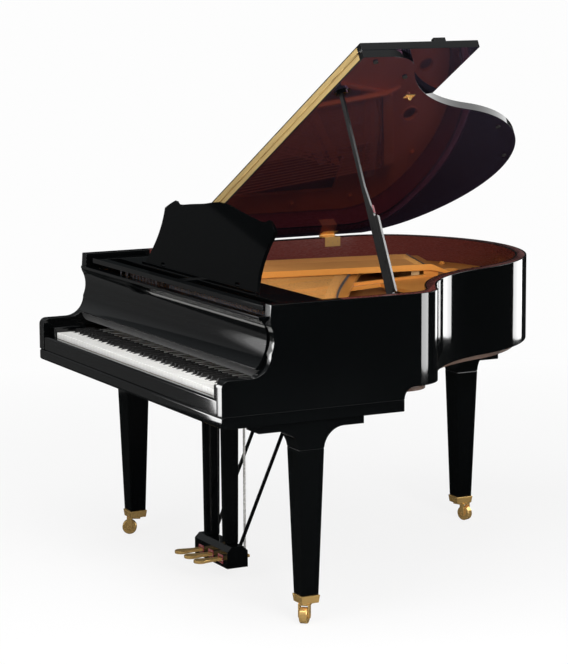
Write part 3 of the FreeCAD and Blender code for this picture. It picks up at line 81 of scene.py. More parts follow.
# Finishes
class Shade:
    """A socket of a finish. Sums and products with it add their own Math nodes."""

    def __init__(self, finish, socket):
        self.finish = finish
        self.socket = socket

    def maths(self, operation, first, second):
        return self.finish.node("ShaderNodeMath", {"operation": operation}, {0: first, 1: second})

    def __add__(self, other):
        return self.maths("ADD", self, other)

    def __radd__(self, other):
        return self.maths("ADD", other, self)

    def __sub__(self, other):
        return self.maths("SUBTRACT", self, other)

    def __rsub__(self, other):
        return self.maths("SUBTRACT", other, self)

    def __mul__(self, other):
        return self.maths("MULTIPLY", self, other)

    def __rmul__(self, other):
        return self.maths("MULTIPLY", other, self)

    def __gt__(self, other):
        return self.maths("GREATER_THAN", self, other)

    def __lt__(self, other):
        return self.maths("LESS_THAN", self, other)


class NodeSheet:
    """Adds nodes to one node tree."""

    def __init__(self, tree):
        self.tree = tree

    def node(self, kind, settings=None, inputs=None, output=0):
        made = self.tree.nodes.new(kind)
        for key, setting in (settings or {}).items():
            if key == "stops":
                ramp = made.color_ramp
                while len(ramp.elements) < len(setting):
                    ramp.elements.new(0.5)
                for element, (position, colour) in zip(ramp.elements, setting):
                    element.position = position
                    element.color = (*colour, 1.0)
            else:
                setattr(made, key, setting)
        for key, given in (inputs or {}).items():
            if isinstance(given, Shade):
                self.tree.links.new(given.socket, made.inputs[key])
            else:
                made.inputs[key].default_value = given
        return Shade(self, made.outputs[output])

    def ramp(self, value, *stops):
        return self.node("ShaderNodeValToRGB", {"stops": stops}, {"Fac": value})


class Finish(NodeSheet):
    """A node material for one kind of surface."""

    def __init__(self, name):
        self.material = bpy.data.materials.new(name)
        self.material.use_nodes = True
        super().__init__(self.material.node_tree)
        self.shader = self.tree.nodes["Principled BSDF"]
        self.place = self.node("ShaderNodeTexCoord", output="Object")

    def stretched(self, stretch, turn=(0.0, 0.0, 0.0)):
        return self.node("ShaderNodeMapping", None, {
            "Vector": self.place, "Scale": stretch, "Rotation": turn})

    def noise(self, scale, detail=3.0, where=None, roughness=0.55):
        return self.node("ShaderNodeTexNoise", None, {
            "Vector": where or self.place, "Scale": scale, "Detail": detail, "Roughness": roughness})

    def spots(self, scale, where=None):
        return self.node("ShaderNodeTexVoronoi", None, {"Vector": where or self.place, "Scale": scale})

    def blend(self, share, first, second):
        return self.node("ShaderNodeMix", {"data_type": "RGBA"}, {0: share, 6: first, 7: second}, 2)

    def part(self, value, low, high, to_low=0.0, to_high=1.0):
        return self.node("ShaderNodeMapRange", None, {
            "Value": value, "From Min": low, "From Max": high, "To Min": to_low, "To Max": to_high})

    def along(self, axis):
        return self.node("ShaderNodeSeparateXYZ", None, {"Vector": self.place}, axis)

    def bump(self, height, strength, distance):
        return self.node("ShaderNodeBump", None, {
            "Height": height, "Strength": strength, "Distance": distance})

    def coat(self, **sockets):
        for name, given in sockets.items():
            socket = self.shader.inputs[name.replace("_", " ")]
            if isinstance(given, Shade):
                self.tree.links.new(given.socket, socket)
            else:
                socket.default_value = given
        return self.material


def colour(red, green, blue):
    return (red, green, blue, 1.0)


def black_lacquer(name="polished_black_lacquer", gloss=0.5, clear=0.25):
    f = Finish(name)
    cloud = f.noise(2.6, 4.0)
    rub = f.noise(38.0, 3.0, f.stretched((1.0, 0.12, 1.0)))
    dust = f.part(f.noise(900.0, 1.0), 0.77, 0.86)
    tone = f.blend(cloud, colour(0.0008, 0.0010, 0.0011), colour(0.0018, 0.0021, 0.0023))
    return f.coat(
        Base_Color=f.blend(dust * 0.05, tone, colour(0.20, 0.19, 0.18)),
        Roughness=0.030 + 0.030 * cloud + 0.018 * rub,
        Specular_IOR_Level=gloss, Coat_Weight=clear, Coat_Roughness=0.02,
        Normal=f.bump(f.noise(55.0, 2.0), 0.025, 0.0003))


def satin_black():
    f = Finish("satin_black_lacquer")
    grain = f.noise(60.0, 5.0, f.stretched((1.0, 1.0, 0.06)))
    return f.coat(
        Base_Color=f.blend(grain, colour(0.004, 0.004, 0.0045), colour(0.010, 0.0095, 0.009)),
        Roughness=0.22 + 0.16 * grain,
        Normal=f.bump(grain, 0.08, 0.0002))


def mahogany_veneer():
    f = Finish("mahogany_veneer")
    grain = f.noise(46.0, 6.0, f.stretched((1.0, 1.0, 9.0)), 0.62)
    pores = f.noise(230.0, 3.0, f.stretched((0.35, 0.35, 4.0)))
    figure = f.noise(5.0, 3.0)
    tone = f.ramp(grain, (0.24, (0.088, 0.019, 0.016)), (0.52, (0.132, 0.030, 0.025)),
                  (0.80, (0.180, 0.046, 0.036)))
    dark = f.part(pores, 0.60, 0.74)
    return f.coat(
        Base_Color=f.blend(dark * 0.6 + 0.12 * figure, tone, colour(0.056, 0.012, 0.010)),
        Roughness=0.20 + 0.14 * pores,
        Coat_Weight=0.6, Coat_Roughness=0.08,
        Normal=f.bump(pores, 0.10, 0.0002))


def spruce():
    f = Finish("spruce_board")
    across = f.stretched((1.0, 1.0, 1.0), (0.0, 0.0, math.radians(38)))
    lines = f.node("ShaderNodeTexWave", {"wave_type": "BANDS", "bands_direction": "X"}, {
        "Vector": across, "Scale": 95.0, "Distortion": 1.6, "Detail": 2.0, "Detail Scale": 0.8})
    warm = f.noise(3.0, 4.0)
    # The tones are darker than honey-coloured spruce: the grain is the board's own, the overall darkening is
    # painted shade under the strings.
    tone = f.ramp(lines, (0.10, (0.26, 0.105, 0.028)), (0.75, (0.34, 0.150, 0.044)),
                  (1.0, (0.19, 0.070, 0.017)))
    return f.coat(
        Base_Color=f.blend(warm * 0.35, tone, colour(0.23, 0.09, 0.024)),
        Roughness=0.30 + 0.12 * warm,
        Coat_Weight=0.35, Coat_Roughness=0.15,
        Normal=f.bump(lines, 0.12, 0.0002))


def maple():
    f = Finish("rock_maple")
    grain = f.noise(34.0, 6.0, f.stretched((1.0, 0.10, 1.0)))
    flecks = f.noise(180.0, 2.0, f.stretched((1.0, 0.3, 1.0)))
    tone = f.ramp(grain, (0.28, (0.42, 0.24, 0.10)), (0.7, (0.62, 0.41, 0.20)))
    return f.coat(
        Base_Color=f.blend(f.part(flecks, 0.60, 0.75) * 0.5, tone, colour(0.30, 0.15, 0.06)),
        Roughness=0.36 + 0.14 * grain, Normal=f.bump(grain, 0.10, 0.0002))


def beech_frame():
    f = Finish("dark_stained_beech")
    grain = f.noise(28.0, 6.0, f.stretched((1.0, 0.14, 1.0)))
    return f.coat(
        Base_Color=f.ramp(grain, (0.25, (0.050, 0.022, 0.012)), (0.75, (0.135, 0.066, 0.036))),
        Roughness=0.42 + 0.2 * grain, Normal=f.bump(grain, 0.15, 0.0003))


def bronzed_iron():
    f = Finish("bronzed_iron_plate")
    flow = f.noise(4.5, 5.0)
    sand = f.noise(420.0, 3.0)
    flake = f.spots(1500.0)
    tone = f.ramp(flow, (0.30, (0.70, 0.250, 0.036)), (0.55, (0.80, 0.310, 0.054)),
                  (0.80, (0.88, 0.390, 0.085)))
    return f.coat(
        Base_Color=f.blend(flake * 0.25, tone, colour(0.92, 0.50, 0.15)),
        Metallic=0.20, Roughness=0.30 + 0.14 * sand + 0.08 * flow,
        Coat_Weight=0.35, Coat_Roughness=0.12,
        Normal=f.bump(sand, 0.16, 0.0004))


# The default tone gives the music wire gold instead of steel grey: painted reflection of the gold plate
# under the strings.
def bright_steel(name="music_wire", tone=(0.92, 0.45, 0.13), rough=0.22):
    f = Finish(name)
    haze = f.noise(140.0, 3.0)
    tarnish = f.noise(9.0, 4.0)
    tarnished = colour(*(0.6 * part for part in tone))
    return f.coat(
        Base_Color=f.blend(tarnish * 0.4, colour(*tone), tarnished),
        Metallic=0.25, Roughness=rough + 0.14 * haze)


def copper_winding():
    f = Finish("copper_winding")
    turns = f.node("ShaderNodeTexWave", {"wave_type": "BANDS", "bands_direction": "Y"}, {
        "Vector": f.place, "Scale": 420.0, "Distortion": 0.0})
    mottle = f.noise(11.0, 4.0)
    tone = f.blend(mottle, colour(0.84, 0.40, 0.13), colour(0.72, 0.31, 0.09))
    return f.coat(
        Base_Color=f.blend(turns * 0.30, tone, colour(0.46, 0.17, 0.05)),
        Metallic=0.35, Roughness=0.28 + 0.12 * mottle, Normal=f.bump(turns, 0.5, 0.0003))


def felt(name, deep, light):
    f = Finish(name)
    nap = f.noise(850.0, 4.0, None, 0.7)
    press = f.noise(60.0, 3.0)
    return f.coat(
        Base_Color=f.blend(nap * 0.8 + 0.2 * press, colour(*deep), colour(*light)),
        Roughness=0.92 + 0.06 * nap, Sheen_Weight=0.35,
        Normal=f.bump(nap, 0.45, 0.0008))


ACRYLIC_TOP = 0.0028
ACRYLIC_FRONT = 0.0022


def white_key():
    """Acrylic top and front over the wooden stick of the key."""
    f = Finish("white_key_acrylic")
    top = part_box("key_c4")[1].z
    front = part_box("key_c4")[0].y
    plastic = f.part((f.along("Z") > top - ACRYLIC_TOP) + (f.along("Y") < front + ACRYLIC_FRONT), 0.0, 1.0)
    tone = f.noise(16.0, 3.0)
    grain = f.noise(45.0, 5.0, f.stretched((1.0, 0.06, 1.0)))
    smear = f.noise(70.0, 3.0)
    ivory = f.blend(tone, colour(0.93, 0.925, 0.90), colour(0.90, 0.89, 0.86))
    wood = f.ramp(grain, (0.3, (0.34, 0.20, 0.095)), (0.7, (0.50, 0.33, 0.17)))
    return f.coat(
        Base_Color=f.blend(plastic, wood, ivory),
        Roughness=0.50 - 0.36 * plastic + 0.10 * smear,
        Normal=f.bump(grain * (1 - plastic), 0.2, 0.0002))


def black_key():
    f = Finish("black_key_resin")
    grain = f.noise(90.0, 4.0, f.stretched((1.0, 0.05, 1.0)))
    rub = f.noise(26.0, 3.0)
    return f.coat(
        Base_Color=f.blend(grain, colour(0.0055, 0.0055, 0.006), colour(0.016, 0.0155, 0.015)),
        Roughness=0.16 + 0.14 * rub + 0.06 * grain, Normal=f.bump(grain, 0.06, 0.0001))


def polished_brass():
    f = Finish("polished_brass")
    smudge = f.noise(7.0, 3.0)
    tarnish = f.part(f.noise(26.0, 4.0), 0.58, 0.80)
    brush = f.noise(420.0, 2.0, f.stretched((1.0, 1.0, 0.08)))
    tone = f.blend(smudge, colour(1.0, 0.66, 0.25), colour(0.96, 0.60, 0.20))
    return f.coat(
        Base_Color=f.blend(tarnish * 0.12, tone, colour(0.56, 0.33, 0.11)),
        Metallic=0.72, Roughness=0.13 + 0.06 * smudge + 0.02 * brush,
        Normal=f.bump(brush, 0.004, 0.0001))


def gilt_strip():
    """Pale lacquered brass of the long hinge."""
    f = Finish("gilt_hinge_strip")
    haze = f.noise(5.0, 3.0)
    wear = f.part(f.noise(40.0, 4.0), 0.66, 0.86)
    tone = f.blend(haze, colour(0.66, 0.48, 0.20), colour(0.60, 0.41, 0.155))
    return f.coat(
        Base_Color=f.blend(wear * 0.12, tone, colour(0.48, 0.31, 0.11)),
        Metallic=0.30, Roughness=0.34 + 0.06 * haze)


def aged_brass():
    """Brass of the knuckles, painted dark as painted shade of the gaps round them."""
    f = Finish("aged_brass")
    mottle = f.noise(60.0, 3.0)
    return f.coat(
        Base_Color=f.blend(mottle, colour(0.060, 0.036, 0.012), colour(0.120, 0.074, 0.026)),
        Metallic=0.3, Roughness=0.40 + 0.15 * mottle)


def lid_underside():
    """Dark lacquer under the lid with a red clear coat, which reddens what it mirrors."""
    f = Finish("maroon_lacquer")
    cloud = f.noise(3.2, 4.0)
    rub = f.noise(40.0, 3.0, f.stretched((0.12, 1.0, 1.0)))
    return f.coat(
        Base_Color=f.blend(cloud, colour(0.0130, 0.0310, 0.0250), colour(0.0160, 0.0380, 0.0310)),
        Roughness=0.030 + 0.020 * cloud + 0.010 * rub,
        Coat_Weight=1.0, Coat_IOR=1.05, Coat_Tint=colour(1.0, 0.64, 0.86),
        Normal=f.bump(f.noise(55.0, 2.0), 0.02, 0.0003))


def black_rubber():
    f = Finish("black_rubber")
    skin = f.noise(520.0, 3.0)
    return f.coat(
        Base_Color=f.blend(skin, colour(0.012, 0.012, 0.012), colour(0.030, 0.029, 0.028)),
        Roughness=0.62 + 0.2 * skin, Normal=f.bump(skin, 0.25, 0.0003))


FINISHES = {
    "black_lacquer": black_lacquer(),
    "desk_lacquer": black_lacquer("desk_black_lacquer", 0.12, 0.0),
    "satin_black": satin_black(),
    "mahogany": mahogany_veneer(),
    "dark_wood": beech_frame(),
    # spruce darkened: painted shade under the strings
    "spruce": spruce(),
    "maple": maple(),
    "gold_plate": bronzed_iron(),
    # music wire in gold: painted reflection of the plate
    "steel": bright_steel(),
    "rod_steel": bright_steel("nickelled_rod", (0.66, 0.65, 0.62), 0.20),
    "dark_steel": bright_steel("blued_tuning_steel", (0.07, 0.075, 0.09), 0.30),
    "copper": copper_winding(),
    "damper_felt": felt("white_damper_felt", (0.52, 0.50, 0.46), (0.78, 0.76, 0.71)),
    "hammer_felt": felt("cream_hammer_felt", (0.50, 0.46, 0.38), (0.74, 0.70, 0.60)),
    "black_cloth": felt("black_key_cloth", (0.0030, 0.0030, 0.0032), (0.0080, 0.0080, 0.0082)),
    "red_felt": felt("crimson_felt", (0.120, 0.006, 0.014), (0.330, 0.024, 0.045)),
    "white_key": white_key(),
    "black_key": black_key(),
    "brass": polished_brass(),
    "gilt": gilt_strip(),
    # dark knuckle brass: painted shade of the hinge gaps
    "aged_brass": aged_brass(),
    "maroon": lid_underside(),
    "rubber": black_rubber(),
}
node_slots = {row["node"]: row["material_slot"] for row in frame["record"]["subparts"]}
for name, node in frame["nodes"].items():
    node.data.materials.clear()
    node.data.materials.append(FINISHES[node_slots[name]])


# Bench tools
def only(piece):
    bpy.ops.object.select_all(action="DESELECT")
    piece.select_set(True)
    bpy.context.view_layer.objects.active = piece


def edit(piece):
    only(piece)
    bpy.ops.object.mode_set(mode="EDIT")


def done():
    bpy.ops.object.mode_set(mode="OBJECT")


def rounded(piece, edge, steps=2, sharpest=32):
    """Eases the edges of a piece and gives it smooth shading up to its real corners."""
    only(piece)
    bevel = piece.modifiers.new("eased_edges", "BEVEL")
    bevel.width = edge
    bevel.segments = steps
    bevel.limit_method = "ANGLE"
    bevel.angle_limit = math.radians(sharpest)
    bpy.ops.object.modifier_apply(modifier=bevel.name)
    bpy.ops.object.shade_smooth_by_angle(angle=math.radians(sharpest + 10))
    even = piece.modifiers.new("even_faces", "WEIGHTED_NORMAL")
    even.keep_sharp = True
    bpy.ops.object.modifier_apply(modifier=even.name)


def settle(piece, body, slot, finish=None):
    """Puts a finished piece on its body with its place in its mesh."""
    only(piece)
    bpy.ops.object.transform_apply(location=True, rotation=True, scale=True)
    if not piece.data.materials:
        piece.data.materials.append(FINISHES[finish or slot])
    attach(piece, body)
    return piece


def body_of(node):
    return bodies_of(frame["nodes"][node])[0]


SAME_POINT = 0.00002
FLAT_WITHIN = math.radians(0.4)


def eased(node, edge, finish=None, steps=2, sharpest=32):
    """A node's own shape with its loose triangles joined, its edges eased and its shading smooth."""
    piece = bpy.data.objects.new("eased_" + node, frame["nodes"][node].data.copy())
    bpy.context.scene.collection.objects.link(piece)
    piece.data.materials.clear()
    edit(piece)
    bpy.ops.mesh.select_all(action="SELECT")
    bpy.ops.mesh.remove_doubles(threshold=SAME_POINT)
    bpy.ops.mesh.dissolve_limited(angle_limit=FLAT_WITHIN)
    done()
    if edge:
        rounded(piece, edge, steps, sharpest)
    else:
        bpy.ops.object.shade_smooth_by_angle(angle=math.radians(sharpest))
    settle(piece, body_of(node), node_slots[node], finish)
    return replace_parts(piece, node)


def joined(name, copies):
    """Makes one piece of several."""
    bpy.ops.object.select_all(action="DESELECT")
    for copy in copies:
        copy.select_set(True)
    bpy.context.view_layer.objects.active = copies[0]
    bpy.ops.object.join()
    copies[0].name = name
    return copies[0]


def copied(pattern, turn):
    """A copy of a pattern piece with its own mesh, moved by a matrix."""
    copy = pattern.copy()
    copy.data = pattern.data.copy()
    bpy.context.scene.collection.objects.link(copy)
    copy.data.transform(turn)
    return copy


def scrap(piece):
    bpy.data.objects.remove(piece)


def faces_where(piece, test):
    """Selects, in edit mode, the faces whose middle and normal pass a test."""
    done()
    for face in piece.data.polygons:
        face.select = bool(test(face.center, face.normal))
    for edge in piece.data.edges:
        edge.select = False
    for vertex in piece.data.vertices:
        vertex.select = False
    for face in piece.data.polygons:
        if face.select:
            for index in face.vertices:
                piece.data.vertices[index].select = True
    bpy.ops.object.mode_set(mode="EDIT")
    bpy.ops.mesh.select_mode(type="FACE")


def slab(low, high):
    """A box between two corners, ready to be shaped."""
    bpy.ops.object.select_all(action="DESELECT")
    bpy.ops.mesh.primitive_cube_add(size=1.0, location=(low + high) / 2)
    piece = bpy.context.object
    piece.scale = high - low
    bpy.ops.object.transform_apply(location=True, rotation=True, scale=True)
    return piece


def peg(radius, start, end, sides=24):
    """A round bar between two points, ready to be shaped."""
    bpy.ops.object.select_all(action="DESELECT")
    run = end - start
    turn = run.to_track_quat("Z", "Y").to_euler()
    bpy.ops.mesh.primitive_cylinder_add(
        vertices=sides, radius=radius, depth=run.length, location=(start + end) / 2, rotation=turn)
    bpy.ops.object.transform_apply(location=True, rotation=True, scale=True)
    return bpy.context.object


# Case and black pieces
BLACK_EDGES = {
    "outer_rim": 0.0022, "lid": 0.0040, "lid_flap": 0.0035, "fallboard": 0.0022, "keybed": 0.0028,
    "key_slip": 0.0016, "key_blocks": 0.0025, "music_shelf": 0.0018, "desk_strut": 0.0010,
    "desk_rails": 0.0020, "legs": 0.0030, "leg_brackets": 0.0022, "lyre_posts": 0.0030, "lyre_braces": 0.0,
    "pedal_box": 0.0020,
}
PROP_EDGES = {"lid_prop": 0.0030, "short_prop": 0.0024}
DESK_EDGE = 0.0035
black = {node: eased(node, edge) for node, edge in BLACK_EDGES.items()}
for node, edge in PROP_EDGES.items():
    eased(node, edge, "satin_black")
eased("music_desk", DESK_EDGE, "desk_lacquer")

VENEER_FRONT = 400
TOP_LINE = 5
CASE_HEART = -300
STRAIGHT_SIDES_END = 0.30
SAME_LEVEL = 0.0001
FALLBOARD_NOSE = 794


def veneer_inside(rim):
    """Shows mahogany on the wall of the rim that faces the strings."""
    front = spot(0, VENEER_FRONT, 0)
    edit(rim)
    bpy.ops.mesh.select_all(action="SELECT")
    bpy.ops.mesh.bisect(plane_co=front, plane_no=(0, 1, 0))
    done()
    rim.data.materials.append(FINISHES["mahogany"])
    heart = spot(CASE_HEART, 0, 0).x
    for face in rim.data.polygons:
        middle = face.center
        out = middle - Vector((heart, min(middle.y, STRAIGHT_SIDES_END), middle.z))
        if abs(face.normal.z) < 0.3 and face.normal.dot(out) < 0 and middle.y > front.y:
            face.material_index = 1


def veneer_on_top(rim):
    """Carries the veneer over the top of the rim, up to a black line along its outer edge."""
    behind = spot(0, VENEER_FRONT, 0).y
    top = max(vertex.co.z for vertex in rim.data.vertices)
    only(rim)
    faces_where(rim, lambda middle, normal:
                normal.z > 0.99 and middle.z > top - SAME_LEVEL and middle.y > behind)
    bpy.ops.mesh.inset(thickness=TOP_LINE / 1000, use_boundary=True)
    done()
    for face in rim.data.polygons:
        if face.select:
            face.material_index = 1


def face_down(lid):
    """Gives the underside of the raised lid and flap its own lacquer."""
    lid.data.materials.append(FINISHES["maroon"])
    for face in lid.data.polygons:
        if face.normal.z < -0.6:
            face.material_index = 1


def cloth_underneath(fallboard):
    """Lines the round foot of the fallboard, which the black keys run under, with black cloth."""
    fallboard.data.materials.append(FINISHES["black_cloth"])
    nose = spot(0, 0, FALLBOARD_NOSE).z
    for face in fallboard.data.polygons:
        if face.center.z < nose:
            face.material_index = 1


veneer_inside(black["outer_rim"])
veneer_on_top(black["outer_rim"])
face_down(black["lid"])
face_down(black["lid_flap"])
cloth_underneath(black["fallboard"])

# Keys
WHITE_KEY_EDGE = 0.0010
BLACK_KEY_EDGE = 0.0014
for node in ("white_keys", "key_c4", "key_d4", "key_e4", "key_f4"):
    eased(node, WHITE_KEY_EDGE)
for node in ("black_keys", "key_c_sharp4", "key_d_sharp4", "key_f_sharp4"):
    eased(node, BLACK_KEY_EDGE)

# Metalwork
BRASS_EDGES = {
    "leg_ferrules": 0.0016,
    "bass_caster_fork": 0.0014, "treble_caster_fork": 0.0014, "tail_caster_fork": 0.0014,
    "bass_caster_wheel": 0.0010, "treble_caster_wheel": 0.0010, "tail_caster_wheel": 0.0010,
    "soft_pedal": 0.0028, "sustain_hold_pedal": 0.0028, "damper_pedal": 0.0028,
    "lid_hinge_plates": 0.0005, "lid_hinge_straps": 0.0005, "prop_bracket": 0.0008,
}
PLATE_EDGE = 0.0026
CUP_EDGE = 0.0006
ROD_EDGE = 0.0008
FLAP_KNUCKLE = 2.6
for node, edge in BRASS_EDGES.items():
    eased(node, edge)


def dark_knuckles(leaf):
    """Darkens the knuckles along the axis that the flap folds on, as painted shade of the gaps round them.
    """
    fold = next(row for row in frame["record"]["behaviour"]["joints"] if row["name"] == "flap_fold")
    at, along = Vector(fold["pos_m"]), Vector(fold["axis"])
    leaf.data.materials.append(FINISHES["aged_brass"])
    for face in leaf.data.polygons:
        if (face.center - at).cross(along).length < FLAP_KNUCKLE / 1000:
            face.material_index = 1


for node in ("flap_hinge_lid_leaf", "flap_hinge_flap_leaf"):
    dark_knuckles(eased(node, 0.0, "gilt"))
plate = eased("iron_plate", PLATE_EDGE)
eased("prop_cup", CUP_EDGE)
for node in ("soft_rod", "sustain_hold_rod", "damper_rod"):
    eased(node, ROD_EDGE, "rod_steel")

# Strings: where each runs, in workshop measures
NOTE_COUNT = 88
WOUND_COUNT = 26
SINGLE_COUNT = 10
STRING_PITCH = 12.94
STRING_HEIGHT = 922
AGRAFFE_LINE = 352
WOUND_LIFT = 18
WOUND_SHIFT = 50
WOUND_LEAN = 9
WOUND_LENGTH = 960
WOUND_STEP = 4
PLAIN_LENGTHS = (165, 780)
PLAIN_LEANS = (-3, -17)
PLAIN_FAN_POWER = 1.55
PLATE_TOP = 903
PIN_CLEAR = 34
PIN_STEP = 22
PIN_ROW_COUNT = 4
PIN_SPREAD = 2.0
PLAIN_SPREAD = 1.7
WOUND_SPREAD = 5.4
PLAIN_WIRE = 0.6
WOUND_CORE = 0.7
WINDING = 1.7
WINDING_START = 22
WINDING_STOP = 34


def strings_of(note):
    """Tuning pin, agraffe, hitch and heading of each string of a note."""
    x = (note - (NOTE_COUNT - 1) / 2) * STRING_PITCH
    if note < WOUND_COUNT:
        count = 1 if note < SINGLE_COUNT else 2
        x -= WOUND_SHIFT
        lean = WOUND_LEAN
        length = WOUND_LENGTH - WOUND_STEP * note
        height = STRING_HEIGHT + WOUND_LIFT
        spread = WOUND_SPREAD
    else:
        count = 3
        share = (NOTE_COUNT - 1 - note) / (NOTE_COUNT - 1 - WOUND_COUNT)
        lean = PLAIN_LEANS[0] + (PLAIN_LEANS[1] - PLAIN_LEANS[0]) * share
        length = PLAIN_LENGTHS[0] + (PLAIN_LENGTHS[1] - PLAIN_LENGTHS[0]) * share ** PLAIN_FAN_POWER
        height = STRING_HEIGHT
        spread = PLAIN_SPREAD
    along = Vector((math.sin(math.radians(lean)), math.cos(math.radians(lean)), 0))
    across = Vector((along.y, -along.x, 0))
    runs = []
    for index in range(count):
        aside = index - (count - 1) / 2
        agraffe = Vector((x, AGRAFFE_LINE, height)) + across * (aside * spread)
        row = (note * count + index) % PIN_ROW_COUNT
        pin = agraffe - along * (PIN_CLEAR + row * PIN_STEP) + across * (aside * PIN_SPREAD)
        runs.append((pin, agraffe, agraffe + along * length, along))
    return runs


def smooth(piece):
    only(piece)
    bpy.ops.object.shade_smooth_by_angle(angle=math.radians(50))


def laid(pattern, start, end, radius):
    """A copy of a unit bar, drawn out between two places of the workshop."""
    start, end = spot(*start), spot(*end)
    run = end - start
    turn = run.to_track_quat("Z", "Y").to_matrix().to_4x4()
    thickness = Matrix.Diagonal((radius / 1000, radius / 1000, run.length, 1.0))
    return copied(pattern, Matrix.Translation(start) @ turn @ thickness)


def wire_pattern(finish):
    wire = peg(1.0, Vector((0, 0, 0)), Vector((0, 0, 1)), 6)
    smooth(wire)
    wire.data.materials.append(FINISHES[finish])
    return wire


def string_set():
    """Three plain wires a note in the treble, copper-wound ones singly or in pairs in the bass."""
    steel = wire_pattern("steel")
    copper = wire_pattern("copper")
    plain, wound = [], []
    for note in range(NOTE_COUNT):
        for pin, agraffe, hitch, along in strings_of(note):
            group = wound if note < WOUND_COUNT else plain
            radius = WOUND_CORE if note < WOUND_COUNT else PLAIN_WIRE
            group.append(laid(steel, pin, agraffe, radius))
            group.append(laid(steel, agraffe, hitch, radius))
            if note < WOUND_COUNT:
                start = agraffe + along * WINDING_START
                group.append(laid(copper, start, hitch - along * WINDING_STOP, WINDING))
    for name, group in (("plain_strings", plain), ("wound_strings", wound)):
        piece = joined(name + "_strung", group)
        settle(piece, body_of(name), node_slots[name])
        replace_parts(piece, name)
    scrap(steel)
    scrap(copper)


PIN_RADIUS = 0.0033
PIN_SHANK = 0.023
PIN_SHOULDER = 0.0008
PIN_HEAD = 0.006
PIN_HEAD_TAPER = 0.72
COIL_RADIUS = 0.0043
COIL_LOW = 0.0155
COIL_HIGH = 0.0205
COIL_EDGE = 0.0009


def tuning_pin_pattern():
    """Blued pin with a tapered head and the coil of wire round it."""
    pin = peg(PIN_RADIUS, Vector((0, 0, 0)), Vector((0, 0, PIN_SHANK)), 8)
    only(pin)
    faces_where(pin, lambda middle, normal: normal.z > 0.9)
    bpy.ops.mesh.inset(thickness=PIN_SHOULDER)
    bpy.ops.mesh.extrude_region_move(TRANSFORM_OT_translate={"value": (0, 0, PIN_HEAD)})
    bpy.ops.transform.resize(value=(PIN_HEAD_TAPER, PIN_HEAD_TAPER, 1.0))
    done()
    pin.data.materials.append(FINISHES["dark_steel"])
    coil = peg(COIL_RADIUS, Vector((0, 0, COIL_LOW)), Vector((0, 0, COIL_HIGH)), 10)
    rounded(coil, COIL_EDGE, 1)
    coil.data.materials.append(FINISHES["dark_steel"])
    return joined("tuning_pin_pattern", [pin, coil])


def tuning_pin_set():
    pattern = tuning_pin_pattern()
    pins = []
    for note in range(NOTE_COUNT):
        tall = 1.0 + (WOUND_LIFT / (STRING_HEIGHT - PLATE_TOP) if note < WOUND_COUNT else 0.0)
        for pin, _, _, _ in strings_of(note):
            place = Matrix.Translation(spot(pin.x, pin.y, PLATE_TOP))
            pins.append(copied(pattern, place @ Matrix.Diagonal((1.0, 1.0, tall, 1.0))))
    scrap(pattern)
    piece = joined("tuning_pins_coiled", pins)
    settle(piece, body_of("tuning_pins"), node_slots["tuning_pins"])
    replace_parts(piece, "tuning_pins")


DAMPER_COUNT = 66
DAMPER_LINE = 440
DAMPER_FELT = Vector((0.0045, 0.020, 0.0))
DAMPER_HEAD = Vector((0.0041, 0.019, 0.0))
DAMPER_JOIN = Vector((0, 0, 0.006))
DAMPER_TOP = Vector((0, 0, 0.013))
DAMPER_WEDGE = (0.5, 0.96, 1.0)
DAMPER_EDGE = 0.0014
CLEAR_OF_WOUND = 2.6
CLEAR_OF_PLAIN = 1.1


def damper_pattern():
    """Black head over a wedge of white felt."""
    felt_block = slab(-DAMPER_FELT, DAMPER_FELT + DAMPER_JOIN)
    only(felt_block)
    faces_where(felt_block, lambda middle, normal: normal.z < -0.9)
    bpy.ops.transform.resize(value=DAMPER_WEDGE)
    done()
    felt_block.data.materials.append(FINISHES["damper_felt"])
    head = slab(DAMPER_JOIN - DAMPER_HEAD, DAMPER_TOP + DAMPER_HEAD)
    rounded(head, DAMPER_EDGE, 1)
    head.data.materials.append(FINISHES["satin_black"])
    return joined("damper_pattern", [head, felt_block])


def damper_set():
    pattern = damper_pattern()
    heads = []
    for note in range(DAMPER_COUNT):
        runs = strings_of(note)
        along = runs[0][3]
        middle = (runs[0][1] + runs[-1][1]) / 2
        at = middle + along * ((DAMPER_LINE - middle.y) / along.y)
        clear = CLEAR_OF_WOUND if note < WOUND_COUNT else CLEAR_OF_PLAIN
        turn = Matrix.Rotation(math.atan2(-along.x, along.y), 4, "Z")
        heads.append(copied(pattern, Matrix.Translation(spot(at.x, at.y, at.z + clear)) @ turn))
    scrap(pattern)
    piece = joined("damper_heads", heads)
    settle(piece, body_of("dampers"), node_slots["dampers"])
    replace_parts(piece, "dampers")


AGRAFFE_RADIUS = 0.0036
AGRAFFE_BACK = 7
AGRAFFE_OVER = 3
HITCH_PIN_RADIUS = 0.0019
HITCH_PIN_OVER = 3
RAIL_DROP = 5
RAIL_SUNK = 1
RAIL_FRONT = 11
RAIL_BACK = 44
RAIL_EDGE = 0.0025
CLOTH_FRONT = 10
CLOTH_BACK = 3
CLOTH_CLEAR = 1.6
CLOTH_EDGE = 0.0008
NOTE_RUNS = ((0, WOUND_COUNT - 1), (WOUND_COUNT, NOTE_COUNT - 1))


